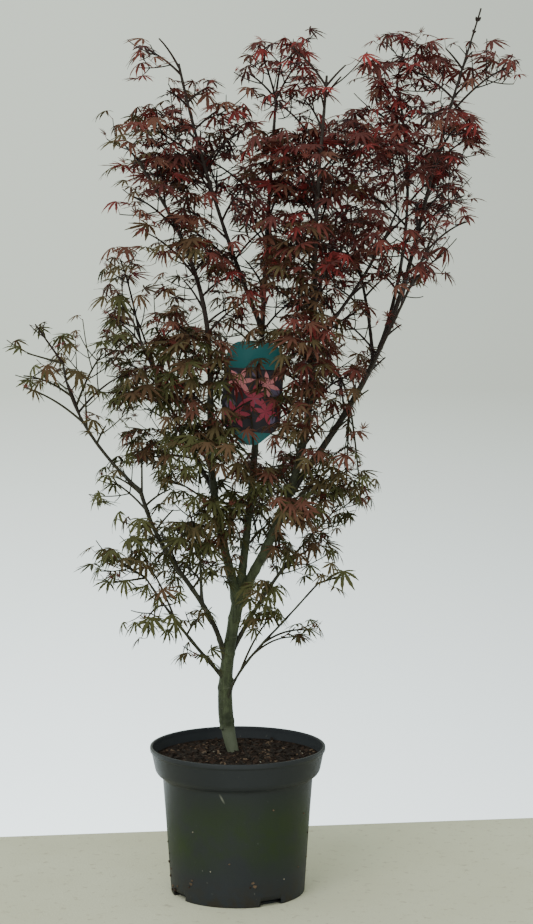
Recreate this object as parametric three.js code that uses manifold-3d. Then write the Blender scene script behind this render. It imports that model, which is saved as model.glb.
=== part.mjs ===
// Potted Japanese maple: a young red-leaved tree with several leaders, grown in a nursery pot.
// Millimetres, +Z up, X to the viewer's right and Y away from the viewer. The origin is the
// middle of the pot's flat underside. Places are written as [right, back, up].
import * as THREE from 'three';
import { mergeVertices } from 'three/addons/utils/BufferGeometryUtils.js';
import Module from 'manifold-3d';

const wasm = await Module();
wasm.setup();

// Pot, from its underside to its rim
const POT_HEIGHT = 236;
const RIM_RADIUS = 140;
const COLLAR_DEPTH = 46;
const COLLAR_FOOT_RADIUS = 131;
const BODY_TOP_RADIUS = 120;
const FOOT_RADIUS = 107;
const WALL = 2.2;
const FLOOR = 3;
const LIP = 4;
const POT_SIDES = 26;
const NOTCHES = 4;
const NOTCH_TURN = 30;
const NOTCH = { wide: 38, deep: 26, high: 10 };

// Compost, and the clearance that every two pieces keep
const SOIL_EDGE = 215;
const SOIL_TOP = 221;
const SOIL_FLAT_RADIUS = 42;
const CLEAR = 0.3;

// Trunk: thickness is the width across at the foot, graft, waist, middle and fork
const TRUNK = {
  foot: [-7, 22, SOIL_TOP - 3], tip: [4, 16, 478], bow: [-17, 0], sway: -2,
  thick: [18.5, 24.5, 21.5, 19, 20.5],
};

// Boughs: on and at say where a limb leaves its parent, 0 at the foot and 1 at the tip. bow
// moves its middle [right, back], and sway, where there is any, moves its lower half right and
// its upper half left. thick is its width across at the butt and at the tip.
const BOUGHS = {
  left_leader: { on: 'trunk', at: 0.95, tip: [-149, -106, 1160], bow: [33, 0], sway: -24, thick: [16, 4.6] },
  middle_leader: { on: 'trunk', at: 0.97, tip: [62, 74, 1275], bow: [6, -20], sway: 3, thick: [14.5, 4.6] },
  right_stem: {
    on: 'trunk', at: 0.96, tip: [136, -130, 1284], bow: [50, -10], sway: 18, thick: [16.5, 4.2],
  },
  right_leader: {
    on: 'right_stem', at: 0.215, tip: [374, -38, 1391], bow: [48, 60], sway: 16, thick: [11.5, 2.6],
  },
  upper_left_leader: { on: 'middle_leader', at: 0.53, tip: [-87, -85, 1304], bow: [-10, 0], thick: [7.5, 4] },
  left_fork: { on: 'left_leader', at: 0.26, tip: [-168, 100, 905], bow: [-6, 10], thick: [6.5, 3.6] },
  far_left_low: { on: 'trunk', at: 0.54, tip: [-150, -45, 648], bow: [3, 0], sway: 10, thick: [9, 6.6] },
  far_left_high: { on: 'far_left_low', at: 1, tip: [-266, -82, 850], bow: [-24, 0], thick: [6, 3.4] },
  low_left_upright: { on: 'far_left_low', at: 0.37, tip: [-59, -18, 556], bow: [0, 0], thick: [5.4, 3.4] },
  low_left: { on: 'trunk', at: 0.46, tip: [-140, -96, 520], bow: [-6, 0], thick: [7, 3.4] },
  low_front: { on: 'trunk', at: 0.29, tip: [126, -85, 510], bow: [-17, 0], sway: -5, thick: [5, 2.8] },
  right_low_bough: { on: 'trunk', at: 0.565, tip: [84, 40, 530], bow: [-7, 0], thick: [8, 5] },
  right_fork: { on: 'right_stem', at: 0.505, tip: [250, 10, 1085], bow: [12, 0], thick: [6, 3.4] },
  right_back: { on: 'right_leader', at: 0.27, tip: [154, 190, 1130], bow: [12, 0], thick: [6, 3.4] },
  back_leader: { on: 'right_leader', at: 0.3, tip: [256, 150, 1290], bow: [30, 10], thick: [6.5, 3.6] },
  right_front: { on: 'right_leader', at: 0.25, tip: [306, -128, 1070], bow: [3, 0], thick: [5.5, 3.4] },
};

// Masses of leaves: the limb each stem leaves, the middle of its space, the half size of that
// space [right, back, up], and the most leaves it carries. A mass with an at of 1 goes on from
// its bough's tip, and any other leaves its bough a little below itself.
const MASSES = {
  upper_left_tip: { on: 'upper_left_leader', middle: [-118, -95, 1312], half: [50, 46, 38], leaves: 7 },
  upper_left_right: { on: 'upper_left_leader', middle: [-25, -45, 1234], half: [50, 60, 55], leaves: 9 },
  upper_left_in: { on: 'upper_left_leader', middle: [-103, -60, 1188], half: [54, 56, 55], leaves: 10 },
  left_tip: { on: 'left_leader', at: 1, middle: [-157, -130, 1170], half: [46, 54, 85], leaves: 10 },
  inner_left: { on: 'upper_left_leader', middle: [-62, -30, 1042], half: [50, 62, 80], leaves: 10 },
  middle_left: { on: 'middle_leader', middle: [20, 62, 1085], half: [60, 65, 62], leaves: 10 },
  left_outer: { on: 'left_leader', middle: [-112, -120, 1030], half: [52, 56, 48], leaves: 8 },
  back_left: { on: 'left_fork', at: 1, middle: [-170, 98, 926], half: [66, 62, 74], leaves: 12 },
  far_left: { on: 'far_left_high', at: 1, middle: [-290, -95, 858], half: [52, 54, 70], leaves: 10 },
  left_upright: { on: 'far_left_high', middle: [-222, 2, 838], half: [58, 60, 62], leaves: 9 },
  left_middle: { on: 'left_fork', middle: [-152, 0, 796], half: [46, 85, 48], leaves: 8 },
  centre_left_high: { on: 'left_leader', middle: [-62, -85, 858], half: [58, 62, 50], leaves: 10 },
  centre_left_low: { on: 'left_fork', middle: [-100, 52, 735], half: [74, 66, 56], leaves: 10 },
  centre_low: { on: 'left_leader', middle: [-53, -85, 706], half: [58, 60, 46], leaves: 9 },
  left_foot: { on: 'low_left_upright', at: 1, middle: [-70, -60, 605], half: [54, 60, 46], leaves: 8 },
  low_left_high: { on: 'low_left', at: 1, middle: [-176, -100, 552], half: [74, 70, 46], leaves: 10 },
  low_left_foot: { on: 'low_left', middle: [-130, -126, 466], half: [46, 52, 42], leaves: 6 },
  middle_top: { on: 'middle_leader', at: 1, middle: [66, 88, 1304], half: [72, 62, 58], leaves: 10 },
  right_stem_top: { on: 'right_stem', middle: [146, -140, 1266], half: [72, 58, 50], leaves: 10 },
  back_right_top: { on: 'back_leader', at: 1, middle: [262, 155, 1318], half: [52, 60, 52], leaves: 9 },
  right_top: { on: 'right_leader', middle: [325, 10, 1240], half: [52, 62, 72], leaves: 10 },
  right_top_end: { on: 'right_leader', middle: [400, -42, 1288], half: [46, 52, 40], leaves: 7 },
  right_outer: { on: 'right_front', at: 1, middle: [340, -118, 1115], half: [48, 56, 60], leaves: 9 },
  right_middle_outer: { on: 'right_leader', middle: [318, 75, 1128], half: [48, 58, 44], leaves: 7 },
  right_upper: { on: 'back_leader', middle: [236, 80, 1222], half: [60, 62, 46], leaves: 9 },
  right_middle: { on: 'right_fork', at: 1, middle: [240, -45, 1160], half: [58, 62, 46], leaves: 9 },
  right_low_outer: { on: 'right_front', middle: [285, -100, 1012], half: [52, 60, 46], leaves: 8 },
  centre_high: { on: 'right_stem', middle: [88, -70, 1148], half: [60, 82, 64], leaves: 11 },
  centre_right: { on: 'right_back', at: 1, middle: [182, 192, 1160], half: [56, 62, 72], leaves: 10 },
  centre_middle: { on: 'right_stem', middle: [100, -100, 1005], half: [58, 62, 52], leaves: 9 },
  right_inner: { on: 'right_back', middle: [185, 118, 1022], half: [50, 62, 52], leaves: 8 },
  centre_deep: { on: 'right_stem', middle: [92, -90, 870], half: [64, 66, 58], leaves: 10 },
  right_deep: { on: 'right_leader', middle: [160, 112, 820], half: [58, 62, 46], leaves: 9 },
  right_low: { on: 'right_leader', middle: [172, -30, 690], half: [58, 62, 52], leaves: 9 },
  right_foot: { on: 'right_low_bough', at: 1, middle: [150, 70, 598], half: [66, 62, 42], leaves: 9 },
  low_centre: { on: 'middle_leader', middle: [55, 112, 640], half: [50, 62, 52], leaves: 8 },
  low_back_right: { on: 'right_low_bough', middle: [96, 112, 515], half: [60, 58, 42], leaves: 8 },
  low_right_end: { on: 'low_front', at: 1, middle: [156, -108, 524], half: [42, 50, 40], leaves: 7 },
  low_right: { on: 'low_front', middle: [46, -88, 468], half: [42, 50, 36], leaves: 6 },
};

// Leaf: five narrow lobes on a three-sided stalk. Each row is an angle from the middle lobe in
// degrees and a length as a share of the middle lobe's.
const LEAF_LOBE = 55;
const LEAF_RIM = [[104, 0.62], [76, 0.29], [48, 0.92], [24, 0.34], [0, 1]];
const LEAF_THICK = 2.6;
const LEAF_DROOP = 0.26;
const LEAF_SIZES = [1.04, 0.78];
const LEAF_GAP = 6;
const LEAF_TRIES = 60;
const STALK = { long: 15, neck: 6, radius: 1 };

// Stems and twigs are three-sided. A wide mass has a pair of twigs low on its stem.
const STEM_RADIUS = [2.6, 2];
const TWIG_RADIUS = [2, 1.7];
const TWIG_SIDES = 3;
const TWIG_ANGLE = 58;
const TWIG_NODE = 0.5;
const TWIG_SHARE = 0.5;
const WIDE_MASS = 64;
const LEAF_NODES = [0.72, 0.9];
const PAIR_BACK = 7;

// How near a twig or leaf may come to a limb, and how far past its mass's core it may reach
const LIMB_GAP = 1.5;
const SPACE_GAP = 0.5;
const SPACE_REACH = 1.5;

// Tag that hangs in front of the middle leader, and the thread that ties it there. shoulder is the
// height of its rounded head, foot that of its pointed foot, eye the radius of its hole, eyeDown
// how far below the top the hole lies, and tilt how many degrees its top leans right.
const TAG = { wide: 94, tall: 165, thick: 1.4, shoulder: 24, foot: 50, eye: 3.2, eyeDown: 9, tilt: 4 };
const TAG_PLACE = [24, 9, 798];
const TAG_SPACE = new THREE.Box3(
  new THREE.Vector3(TAG_PLACE[0] - 0.56 * TAG.wide, TAG_PLACE[1] - 6, TAG_PLACE[2] - 0.53 * TAG.tall),
  new THREE.Vector3(TAG_PLACE[0] + 0.56 * TAG.wide, TAG_PLACE[1] + 8, TAG_PLACE[2] + 0.56 * TAG.tall),
);
const THREAD_RADIUS = 0.7;

const UP = new THREE.Vector3(0, 0, 1);
const vec = (place) => new THREE.Vector3(...place);
const turn = (degrees) => THREE.MathUtils.degToRad(degrees);
const mix = THREE.MathUtils.lerp;

const COLOURS = {
  pot: 0x24272b, soil: 0x2c211a, bark: 0x4b4a38, tag: 0x2f8c94, thread: 0xd9d9c8,
};
const bark = new THREE.MeshStandardMaterial({ color: COLOURS.bark, roughness: 0.85, metalness: 0 });

// A repeatable source of numbers from 0 to 1, the same each run for the same name
function seeded(name) {
  let state = [...name].reduce((sum, letter) => (sum * 31 + letter.charCodeAt(0)) >>> 0, 7);
  return () => {
    state = (state + 0x6d2b79f5) >>> 0;
    let t = Math.imul(state ^ (state >>> 15), 1 | state);
    t ^= t + Math.imul(t ^ (t >>> 7), 61 | t);
    return ((t ^ (t >>> 14)) >>> 0) / 2 ** 32;
  };
}

// A solid from corner places and faces, turned inside out if its faces point inwards
function solidFrom(corners, faces) {
  const build = (list) => new wasm.Manifold(new wasm.Mesh({
    numProp: 3,
    vertProperties: new Float32Array(corners.flatMap((p) => [p.x, p.y, p.z])),
    triVerts: new Uint32Array(list.flat()),
  }));
  const solid = build(faces);
  return solid.volume() > 0 ? solid : build(faces.map(([a, b, c]) => [a, c, b]));
}

function solidFromGeometry(geometry) {
  const bare = geometry.clone();
  bare.deleteAttribute('normal');
  bare.deleteAttribute('uv');
  const merged = mergeVertices(bare, 1e-3);
  const places = merged.attributes.position;
  const corner = (_, i) => new THREE.Vector3().fromBufferAttribute(places, i);
  const corners = Array.from({ length: places.count }, corner);
  const order = merged.index.array;
  const face = (_, i) => [order[3 * i], order[3 * i + 1], order[3 * i + 2]];
  const faces = Array.from({ length: order.length / 3 }, face);
  const real = faces.filter(([a, b, c]) => a !== b && b !== c && c !== a);
  return solidFrom(corners, real);
}

function geometryFrom(solid) {
  const mesh = solid.getMesh();
  const geometry = new THREE.BufferGeometry();
  geometry.setAttribute('position', new THREE.BufferAttribute(new Float32Array(mesh.vertProperties), 3));
  geometry.setIndex(new THREE.BufferAttribute(new Uint32Array(mesh.triVerts), 1));
  geometry.computeVertexNormals();
  return geometry;
}

const largest = (solid) => solid.decompose().sort((a, b) => b.volume() - a.volume())[0];

// A tapering limb: a ring of corners round each place on its middle line, closed flat at both ends
function limbSolid(places, radii, sides) {
  const corners = [];
  const faces = [];
  let side = null;
  places.forEach((place, i) => {
    const before = places[Math.max(i - 1, 0)];
    const after = places[Math.min(i + 1, places.length - 1)];
    const along = after.clone().sub(before).normalize();
    side = side ?? new THREE.Vector3(Math.abs(along.x) > 0.9 ? 0 : 1, Math.abs(along.x) > 0.9 ? 1 : 0, 0);
    side = side.clone().addScaledVector(along, -side.dot(along)).normalize();
    const other = along.clone().cross(side);
    for (let k = 0; k < sides; k += 1) {
      const angle = (2 * Math.PI * k) / sides;
      corners.push(place.clone()
        .addScaledVector(side, radii[i] * Math.cos(angle))
        .addScaledVector(other, radii[i] * Math.sin(angle)));
    }
  });
  for (let i = 0; i < places.length - 1; i += 1) {
    for (let k = 0; k < sides; k += 1) {
      const a = i * sides + k;
      const b = i * sides + ((k + 1) % sides);
      faces.push([a, b, b + sides], [a, b + sides, a + sides]);
    }
  }
  const last = (places.length - 1) * sides;
  for (let k = 1; k < sides - 1; k += 1) {
    faces.push([0, k + 1, k], [last, last + k, last + k + 1]);
  }
  return solidFrom(corners, faces);
}

// Where the middle line of each limb runs, from 0 at its foot to 1 at its tip
const limbs = {};

function limbCurve({ foot, tip, bow, sway = 0 }) {
  return (t) => new THREE.Vector3().lerpVectors(foot, tip, t).add(new THREE.Vector3(
    bow[0] * 4 * t * (1 - t) + sway * Math.sin(2 * Math.PI * t),
    bow[1] * 4 * t * (1 - t),
    0,
  ));
}

function addLimb(name, curve, thickness, steps, sides) {
  const shares = Array.from({ length: steps + 1 }, (_, i) => i / steps);
  const places = shares.map(curve);
  const radii = shares.map((t) => thickness(t) / 2);
  const end = places[steps].clone().sub(places[steps - 1]).setLength(CLEAR);
  const reach = [...places.slice(0, steps), places[steps].clone().add(end)];
  limbs[name] = {
    curve, places, radii,
    solid: limbSolid(places, radii, sides),
    around: limbSolid(reach, radii.map((r) => r + CLEAR), sides),
  };
}

function trunkThickness(t) {
  const share = t * (TRUNK.thick.length - 1);
  const step = Math.min(Math.floor(share), TRUNK.thick.length - 2);
  return mix(TRUNK.thick[step], TRUNK.thick[step + 1], share - step);
}

function makeLimbs() {
  const trunk = { ...TRUNK, foot: vec(TRUNK.foot), tip: vec(TRUNK.tip) };
  const level = limbCurve(trunk);
  addLimb('trunk', level, trunkThickness, 8, 10);
  const below = 20;
  const ground = new THREE.BoxGeometry(2 * RIM_RADIUS, 2 * RIM_RADIUS, below)
    .translate(0, 0, SOIL_TOP + CLEAR - below / 2);
  limbs.trunk.solid = limbs.trunk.solid.subtract(solidFromGeometry(ground));
  for (const [name, bough] of Object.entries(BOUGHS)) {
    const foot = limbs[bough.on].curve(bough.at);
    const curve = limbCurve({ ...bough, foot, tip: vec(bough.tip) });
    const long = foot.distanceTo(vec(bough.tip));
    const [butt, end] = bough.thick;
    addLimb(name, curve, (t) => mix(butt, end, t ** 0.8), Math.max(4, Math.round(long / 80)), 6);
    const older = Object.keys(limbs).filter((other) => other !== name);
    const cut = older.reduce((solid, other) => solid.subtract(limbs[other].around), limbs[name].solid);
    limbs[name].solid = largest(cut);
  }
}

// The shortest way between two straight stretches
function stretchGap(a, b, c, d) {
  const u = b.clone().sub(a);
  const v = d.clone().sub(c);
  const w = a.clone().sub(c);
  const [uu, uv, vv, uw, vw] = [u.dot(u), u.dot(v), v.dot(v), u.dot(w), v.dot(w)];
  const slant = uu * vv - uv * uv;
  let s = slant > 1e-9 ? THREE.MathUtils.clamp((uv * vw - vv * uw) / slant, 0, 1) : 0;
  const t = THREE.MathUtils.clamp((uv * s + vw) / vv, 0, 1);
  s = THREE.MathUtils.clamp((uv * t - uw) / uu, 0, 1);
  return w.addScaledVector(u, s).addScaledVector(v, -t).length();
}

// The stem of a mass leaves its bough below the mass, climbs to its middle and goes on beyond
function stemOf(name) {
  const mass = MASSES[name];
  const bough = limbs[mass.on];
  const middle = vec(mass.middle);
  const shares = Array.from({ length: 41 }, (_, i) => 0.18 + 0.8 * (i / 40));
  const drop = (t) => {
    const away = middle.clone().sub(bough.curve(t));
    return Math.abs(away.z - 0.75 * Math.hypot(away.x, away.y)) + 0.6 * away.length();
  };
  const share = mass.at ?? shares.reduce((best, t) => (drop(t) < drop(best) ? t : best), shares[0]);
  const root = bough.curve(share);
  const way = middle.clone().sub(root);
  const beyond = middle.clone().addScaledVector(way.clone().normalize(), 0.32 * Math.min(...mass.half));
  const lift = 0.1 * way.length();
  const curve = (t) => new THREE.Vector3().lerpVectors(root, beyond, t)
    .addScaledVector(UP, lift * 4 * t * (1 - t) * (share === 1 ? 0 : 1));
  const steps = Math.max(2, Math.round(root.distanceTo(beyond) / 70));
  const places = Array.from({ length: steps + 1 }, (_, i) => curve(i / steps));
  const radii = places.map((_, i) => mix(...STEM_RADIUS, i / steps));
  return { curve, places, radii };
}

// What a twig or leaf has to keep clear of: every limb, every other mass's stem, and the tag
function isClear(from, to, radius, owner, stems) {
  const near = ({ places, radii }) => places.slice(1).some((place, i) => {
    const wide = Math.max(radii[i], radii[i + 1]);
    return stretchGap(from, to, places[i], place) < wide + radius + LIMB_GAP;
  });
  const stretch = new THREE.Box3().setFromPoints([from, to]);
  const others = Object.entries(stems).filter(([name]) => name !== owner).map(([, stem]) => stem);
  return !TAG_SPACE.intersectsBox(stretch) && ![...Object.values(limbs), ...others].some(near);
}

// A mass keeps to its own rounded space, and to its own side of a plane between it and each other
function isInside(place, owner) {
  const { middle, half } = MASSES[owner];
  const away = place.clone().sub(vec(middle));
  if (Math.hypot(away.x / half[0], away.y / half[1], away.z / half[2]) > SPACE_REACH) return false;
  return Object.entries(MASSES).every(([name, other]) => {
    if (name === owner) return true;
    const across = vec(other.middle).sub(vec(middle));
    const apart = across.length();
    across.normalize();
    const width = ([a, b, c]) => Math.hypot(a * across.x, b * across.y, c * across.z);
    const border = (apart * width(half)) / (width(half) + width(other.half));
    return away.dot(across) < border - SPACE_GAP;
  });
}

// Corners of one leaf: forward is where its middle lobe points, face is the way it looks
function leafCorners(root, forward, face, size) {
  const side = face.clone().cross(forward).normalize();
  const heart = root.clone().addScaledVector(forward, (STALK.long + STALK.neck) * size);
  const lobe = LEAF_LOBE * size;
  const at = (degrees, share) => heart.clone()
    .addScaledVector(forward, Math.cos(turn(degrees)) * share * lobe)
    .addScaledVector(side, Math.sin(turn(degrees)) * share * lobe)
    .addScaledVector(face, -LEAF_DROOP * share * share * lobe);
  const ring = (place) => [[1, -0.5], [-1, -0.5], [0, 1]].map(([out, rise]) => place.clone()
    .addScaledVector(side, out * STALK.radius).addScaledVector(face, rise * STALK.radius));
  const neck = ring(heart.clone().addScaledVector(forward, -STALK.neck * size));
  const left = LEAF_RIM.map(([degrees, share]) => at(degrees, share));
  const right = LEAF_RIM.slice(0, -1).map(([degrees, share]) => at(-degrees, share)).reverse();
  return { heart, face, neck, foot: ring(root), rim: [neck[0], ...left, ...right, neck[1]] };
}

function leafSolid({ heart, face, neck, foot, rim }) {
  const count = rim.length;
  const [top, under, ridge, footLeft, footRight, footRidge] = [0, 1, 2, 3, 4, 5].map((i) => count + i);
  const corners = [...rim,
    heart.clone().addScaledVector(face, LEAF_THICK / 2), heart.clone().addScaledVector(face, -LEAF_THICK / 2),
    neck[2], ...foot];
  const [left, right] = [0, count - 1];
  const blade = rim.slice(1).flatMap((_, i) => [[i + 1, i, top], [i, i + 1, under]]);
  return solidFrom(corners, [
    ...blade, [left, ridge, top], [ridge, right, top], [right, left, under],
    [ridge, left, footLeft], [ridge, footLeft, footRidge],
    [right, ridge, footRidge], [right, footRidge, footRight],
    [left, right, footRight], [left, footRight, footLeft],
    [footRidge, footLeft, footRight],
  ]);
}

// One leaf at a root, turned a little from the way it is asked to point until it fits its space
// and lies clear of what its own mass already holds, a list of straight stretches
function placeLeaf(root, wanted, owner, stems, held, random) {
  for (let attempt = 0; attempt < LEAF_TRIES; attempt += 1) {
    const loose = attempt / LEAF_TRIES;
    const forward = wanted.clone()
      .applyAxisAngle(UP, (random() - 0.5) * 3.6 * loose)
      .add(new THREE.Vector3(0, 0, -0.3 + (random() - 0.5) * (0.4 + 1.6 * loose)))
      .normalize();
    const face = UP.clone().addScaledVector(forward, -UP.dot(forward)).normalize()
      .applyAxisAngle(forward, (random() - 0.5) * 1.3);
    const leaf = leafCorners(root, forward, face, mix(...LEAF_SIZES, loose));
    const { heart, rim } = leaf;
    const lobes = rim.filter((_, i) => i % 2 === 1);
    const fits = lobes.every((place) => isInside(place, owner) && isClear(heart, place, 3, owner, stems)
      && held.every(([from, to]) => stretchGap(heart, place, from, to) > LEAF_GAP));
    if (fits) {
      held.push(...lobes.map((place) => [heart, place]));
      return leafSolid(leaf);
    }
  }
  return null;
}

// A mass grows by one rule: its stem bears opposite pairs, each pair a quarter turn on from the
// last. The lowest pair are twigs and the others are leaves. The tip of the stem and of each
// twig ends in one leaf with a pair behind it.
function growMass(name, stems) {
  const mass = MASSES[name];
  const random = seeded(name);
  const stem = stems[name];
  const pieces = [limbSolid(stem.places, stem.radii, TWIG_SIDES)];
  const held = [];
  let left = mass.leaves;
  const addLeaf = (root, way) => {
    const leaf = left > 0 ? placeLeaf(root, way, name, stems, held, random) : null;
    if (!leaf) return;
    pieces.push(leaf);
    left -= 1;
  };
  const sideWay = (share, pair, hand) => {
    const along = stem.curve(share).sub(stem.curve(share - 0.05)).normalize();
    const level = along.clone().cross(UP).normalize().multiplyScalar(hand);
    const side = level.applyAxisAngle(along, turn(pair * 90 + 30 * (random() - 0.5)));
    return along.multiplyScalar(Math.cos(turn(TWIG_ANGLE))).addScaledVector(side, Math.sin(turn(TWIG_ANGLE)));
  };
  const ends = [{ from: stem.curve(1), way: stem.curve(1).sub(stem.curve(0.95)).normalize() }];
  for (const hand of mass.half[0] < WIDE_MASS ? [] : [1, -1]) {
    const from = stem.curve(TWIG_NODE);
    const way = sideWay(TWIG_NODE, 0, hand);
    const room = 1 / Math.hypot(way.x / mass.half[0], way.y / mass.half[1], way.z / mass.half[2]);
    const tip = from.clone().addScaledVector(way, TWIG_SHARE * room * (0.8 + 0.4 * random()));
    if (isInside(tip, name) && isClear(from, tip, TWIG_RADIUS[0], name, stems)) {
      pieces.push(limbSolid([from, tip], TWIG_RADIUS, TWIG_SIDES));
      ends.push({ from: tip, way });
    }
  }
  ends.forEach(({ from, way }) => addLeaf(from.clone().addScaledVector(way, -2), way));
  const pairs = ends.length > 1 ? LEAF_NODES : [TWIG_NODE, ...LEAF_NODES];
  pairs.forEach((share, pair) => {
    for (const hand of [1, -1]) addLeaf(stem.curve(share), sideWay(share, pair, hand));
  });
  for (const hand of [1, -1]) {
    ends.slice(1).forEach(({ from, way }) => {
      addLeaf(from.clone().addScaledVector(way, -PAIR_BACK), way.clone().applyAxisAngle(UP, hand * turn(80)));
    });
  }
  const whole = wasm.Manifold.union(pieces).subtract(limbs[mass.on].around);
  return largest(whole);
}

// Pot: a tapering wall under a deep stepped collar, with drainage notches round its foot
function potSolid() {
  const step = POT_HEIGHT - COLLAR_DEPTH;
  const profile = [
    [0, 0], [FOOT_RADIUS, 0], [BODY_TOP_RADIUS, step - 3], [COLLAR_FOOT_RADIUS, step],
    [RIM_RADIUS - 1.5, POT_HEIGHT - 9], [RIM_RADIUS, POT_HEIGHT - LIP], [RIM_RADIUS - 1.5, POT_HEIGHT],
    [RIM_RADIUS - LIP, POT_HEIGHT], [RIM_RADIUS - LIP - 0.5, POT_HEIGHT - 7],
    [COLLAR_FOOT_RADIUS - WALL, step + 3], [BODY_TOP_RADIUS - WALL, step],
    [FOOT_RADIUS - WALL, FLOOR], [0, FLOOR],
  ].map(([radius, height]) => new THREE.Vector2(radius, height));
  const shell = new THREE.LatheGeometry(profile, POT_SIDES).rotateX(Math.PI / 2);
  const notches = Array.from({ length: NOTCHES }, (_, i) => {
    const box = new THREE.BoxGeometry(NOTCH.wide, NOTCH.deep, NOTCH.high * 2);
    box.translate(0, -FOOT_RADIUS, 0).rotateZ(turn(NOTCH_TURN + (360 * i) / NOTCHES));
    return solidFromGeometry(box);
  });
  return notches.reduce((pot, notch) => pot.subtract(notch), solidFromGeometry(shell));
}

// Compost: fills the pot up to a little under its rim and stands slightly higher round the trunk
function soilSolid() {
  const step = POT_HEIGHT - COLLAR_DEPTH;
  const inset = WALL + CLEAR;
  const slope = (RIM_RADIUS - LIP - COLLAR_FOOT_RADIUS) / (COLLAR_DEPTH - 10);
  const edge = COLLAR_FOOT_RADIUS - inset + slope * (SOIL_EDGE - step - 3);
  const profile = [
    [0, NOTCH.high + 1], [FOOT_RADIUS - inset - 14, NOTCH.high + 1], [FOOT_RADIUS - inset, NOTCH.high + 4],
    [BODY_TOP_RADIUS - inset, step + CLEAR],
    [COLLAR_FOOT_RADIUS - inset, step + 3 + CLEAR], [edge, SOIL_EDGE],
    [SOIL_FLAT_RADIUS, SOIL_TOP], [0, SOIL_TOP],
  ].map(([radius, height]) => new THREE.Vector2(radius, height));
  return solidFromGeometry(new THREE.LatheGeometry(profile, POT_SIDES).rotateX(Math.PI / 2));
}

// Tag: a flat card with a rounded head, a foot rounded to a point and an eye for its thread
function tagSolid() {
  const [half, top] = [TAG.wide / 2, TAG.tall / 2];
  const [waist, neck] = [TAG.foot - top, top - TAG.shoulder];
  const outline = new THREE.Shape();
  outline.moveTo(0, -top);
  outline.quadraticCurveTo(half * 0.64, waist - TAG.foot * 0.56, half, waist);
  outline.lineTo(half, neck);
  outline.quadraticCurveTo(half * 0.9, top, half * 0.4, top);
  outline.lineTo(-half * 0.4, top);
  outline.quadraticCurveTo(-half * 0.9, top, -half, neck);
  outline.lineTo(-half, waist);
  outline.quadraticCurveTo(-half * 0.64, waist - TAG.foot * 0.56, 0, -top);
  outline.holes.push(new THREE.Path().absarc(0, top - TAG.eyeDown, TAG.eye, 0, 2 * Math.PI, true));
  const cut = { depth: TAG.thick, bevelEnabled: false, curveSegments: 4 };
  const plate = new THREE.ExtrudeGeometry(outline, cut);
  plate.rotateX(Math.PI / 2).translate(0, TAG.thick / 2, 0).rotateY(turn(TAG.tilt));
  return solidFromGeometry(plate).translate(TAG_PLACE);
}

// Thread: one loop round the back of the middle leader and under the top of the tag's eye
function threadSolid() {
  const lean = new THREE.Vector3(Math.sin(turn(TAG.tilt)), 0, Math.cos(turn(TAG.tilt)));
  const bearing = TAG.tall / 2 - TAG.eyeDown + TAG.eye - THREAD_RADIUS - 3 * CLEAR;
  const eye = vec(TAG_PLACE).addScaledVector(lean, bearing);
  const over = vec(TAG_PLACE).addScaledVector(lean, TAG.tall / 2 + 2);
  const leader = limbs.middle_leader;
  const share = (over.z + 7 - leader.curve(0).z) / (leader.curve(1).z - leader.curve(0).z);
  const round = leader.curve(share);
  const wide = 7;
  const snug = leader.radii[Math.floor(share * leader.radii.length)] + THREAD_RADIUS + 2 * CLEAR;
  const loop = new THREE.CatmullRomCurve3([
    round.clone().add(vec([0, snug, 1])), round.clone().add(vec([wide, 0, 0])),
    round.clone().add(vec([wide, -wide, -2])), over.clone().add(vec([1, -2.4, 0])),
    eye.clone().add(vec([0.6, -3.2, 1.6])), eye, eye.clone().add(vec([-0.6, 2.8, 1.8])),
    round.clone().add(vec([-wide * 0.4, -wide, -3])), round.clone().add(vec([-wide, 0, 0])),
  ], true);
  const steps = 22;
  const sides = 3;
  const corners = [];
  const faces = [];
  const frames = loop.computeFrenetFrames(steps, true);
  for (let i = 0; i < steps; i += 1) {
    for (let k = 0; k < sides; k += 1) {
      const angle = (2 * Math.PI * k) / sides;
      corners.push(loop.getPointAt(i / steps)
        .addScaledVector(frames.normals[i], THREAD_RADIUS * Math.cos(angle))
        .addScaledVector(frames.binormals[i], THREAD_RADIUS * Math.sin(angle)));
      const [a, b] = [i * sides + k, i * sides + ((k + 1) % sides)];
      const on = (j) => (j + sides) % (steps * sides);
      faces.push([a, b, on(b)], [a, on(b), on(a)]);
    }
  }
  return solidFrom(corners, faces);
}

const maple = new THREE.Group();

function addPiece(name, solid, material) {
  const mesh = new THREE.Mesh(geometryFrom(solid), material);
  mesh.name = name;
  maple.add(mesh);
}

const surface = (color, roughness) => new THREE.MeshStandardMaterial({ color, roughness, metalness: 0 });

// Leaf colour runs from olive bronze low on the left to dark red high on the right
function leafColour([right, , up]) {
  const red = THREE.MathUtils.clamp((up - 500) / 900 + right / 900, 0, 1);
  return new THREE.Color(0x5a5a24).lerp(new THREE.Color(0x6b1c1c), red);
}

makeLimbs();
addPiece('pot', potSolid(), surface(COLOURS.pot, 0.55));
addPiece('soil', soilSolid(), surface(COLOURS.soil, 0.95));
for (const [name, limb] of Object.entries(limbs)) addPiece(name, limb.solid, bark);
addPiece('tag', tagSolid(), surface(COLOURS.tag, 0.35));
addPiece('tag_thread', threadSolid(), surface(COLOURS.thread, 0.8));

const stems = Object.fromEntries(Object.keys(MASSES).map((name) => [name, stemOf(name)]));
for (const name of Object.keys(MASSES)) {
  addPiece(name, growMass(name, stems), surface(leafColour(MASSES[name].middle), 0.7));
}

export default maple;
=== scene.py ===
# Potted Japanese maple: a young red-leaved tree with several leaders, in its nursery pot.
# Metres, +Z up, X to the viewer's right, Y away from the viewer. The origin is the middle of
# the pot's flat underside. Sizes given in millimetres are multiplied by MM.
import math

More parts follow.
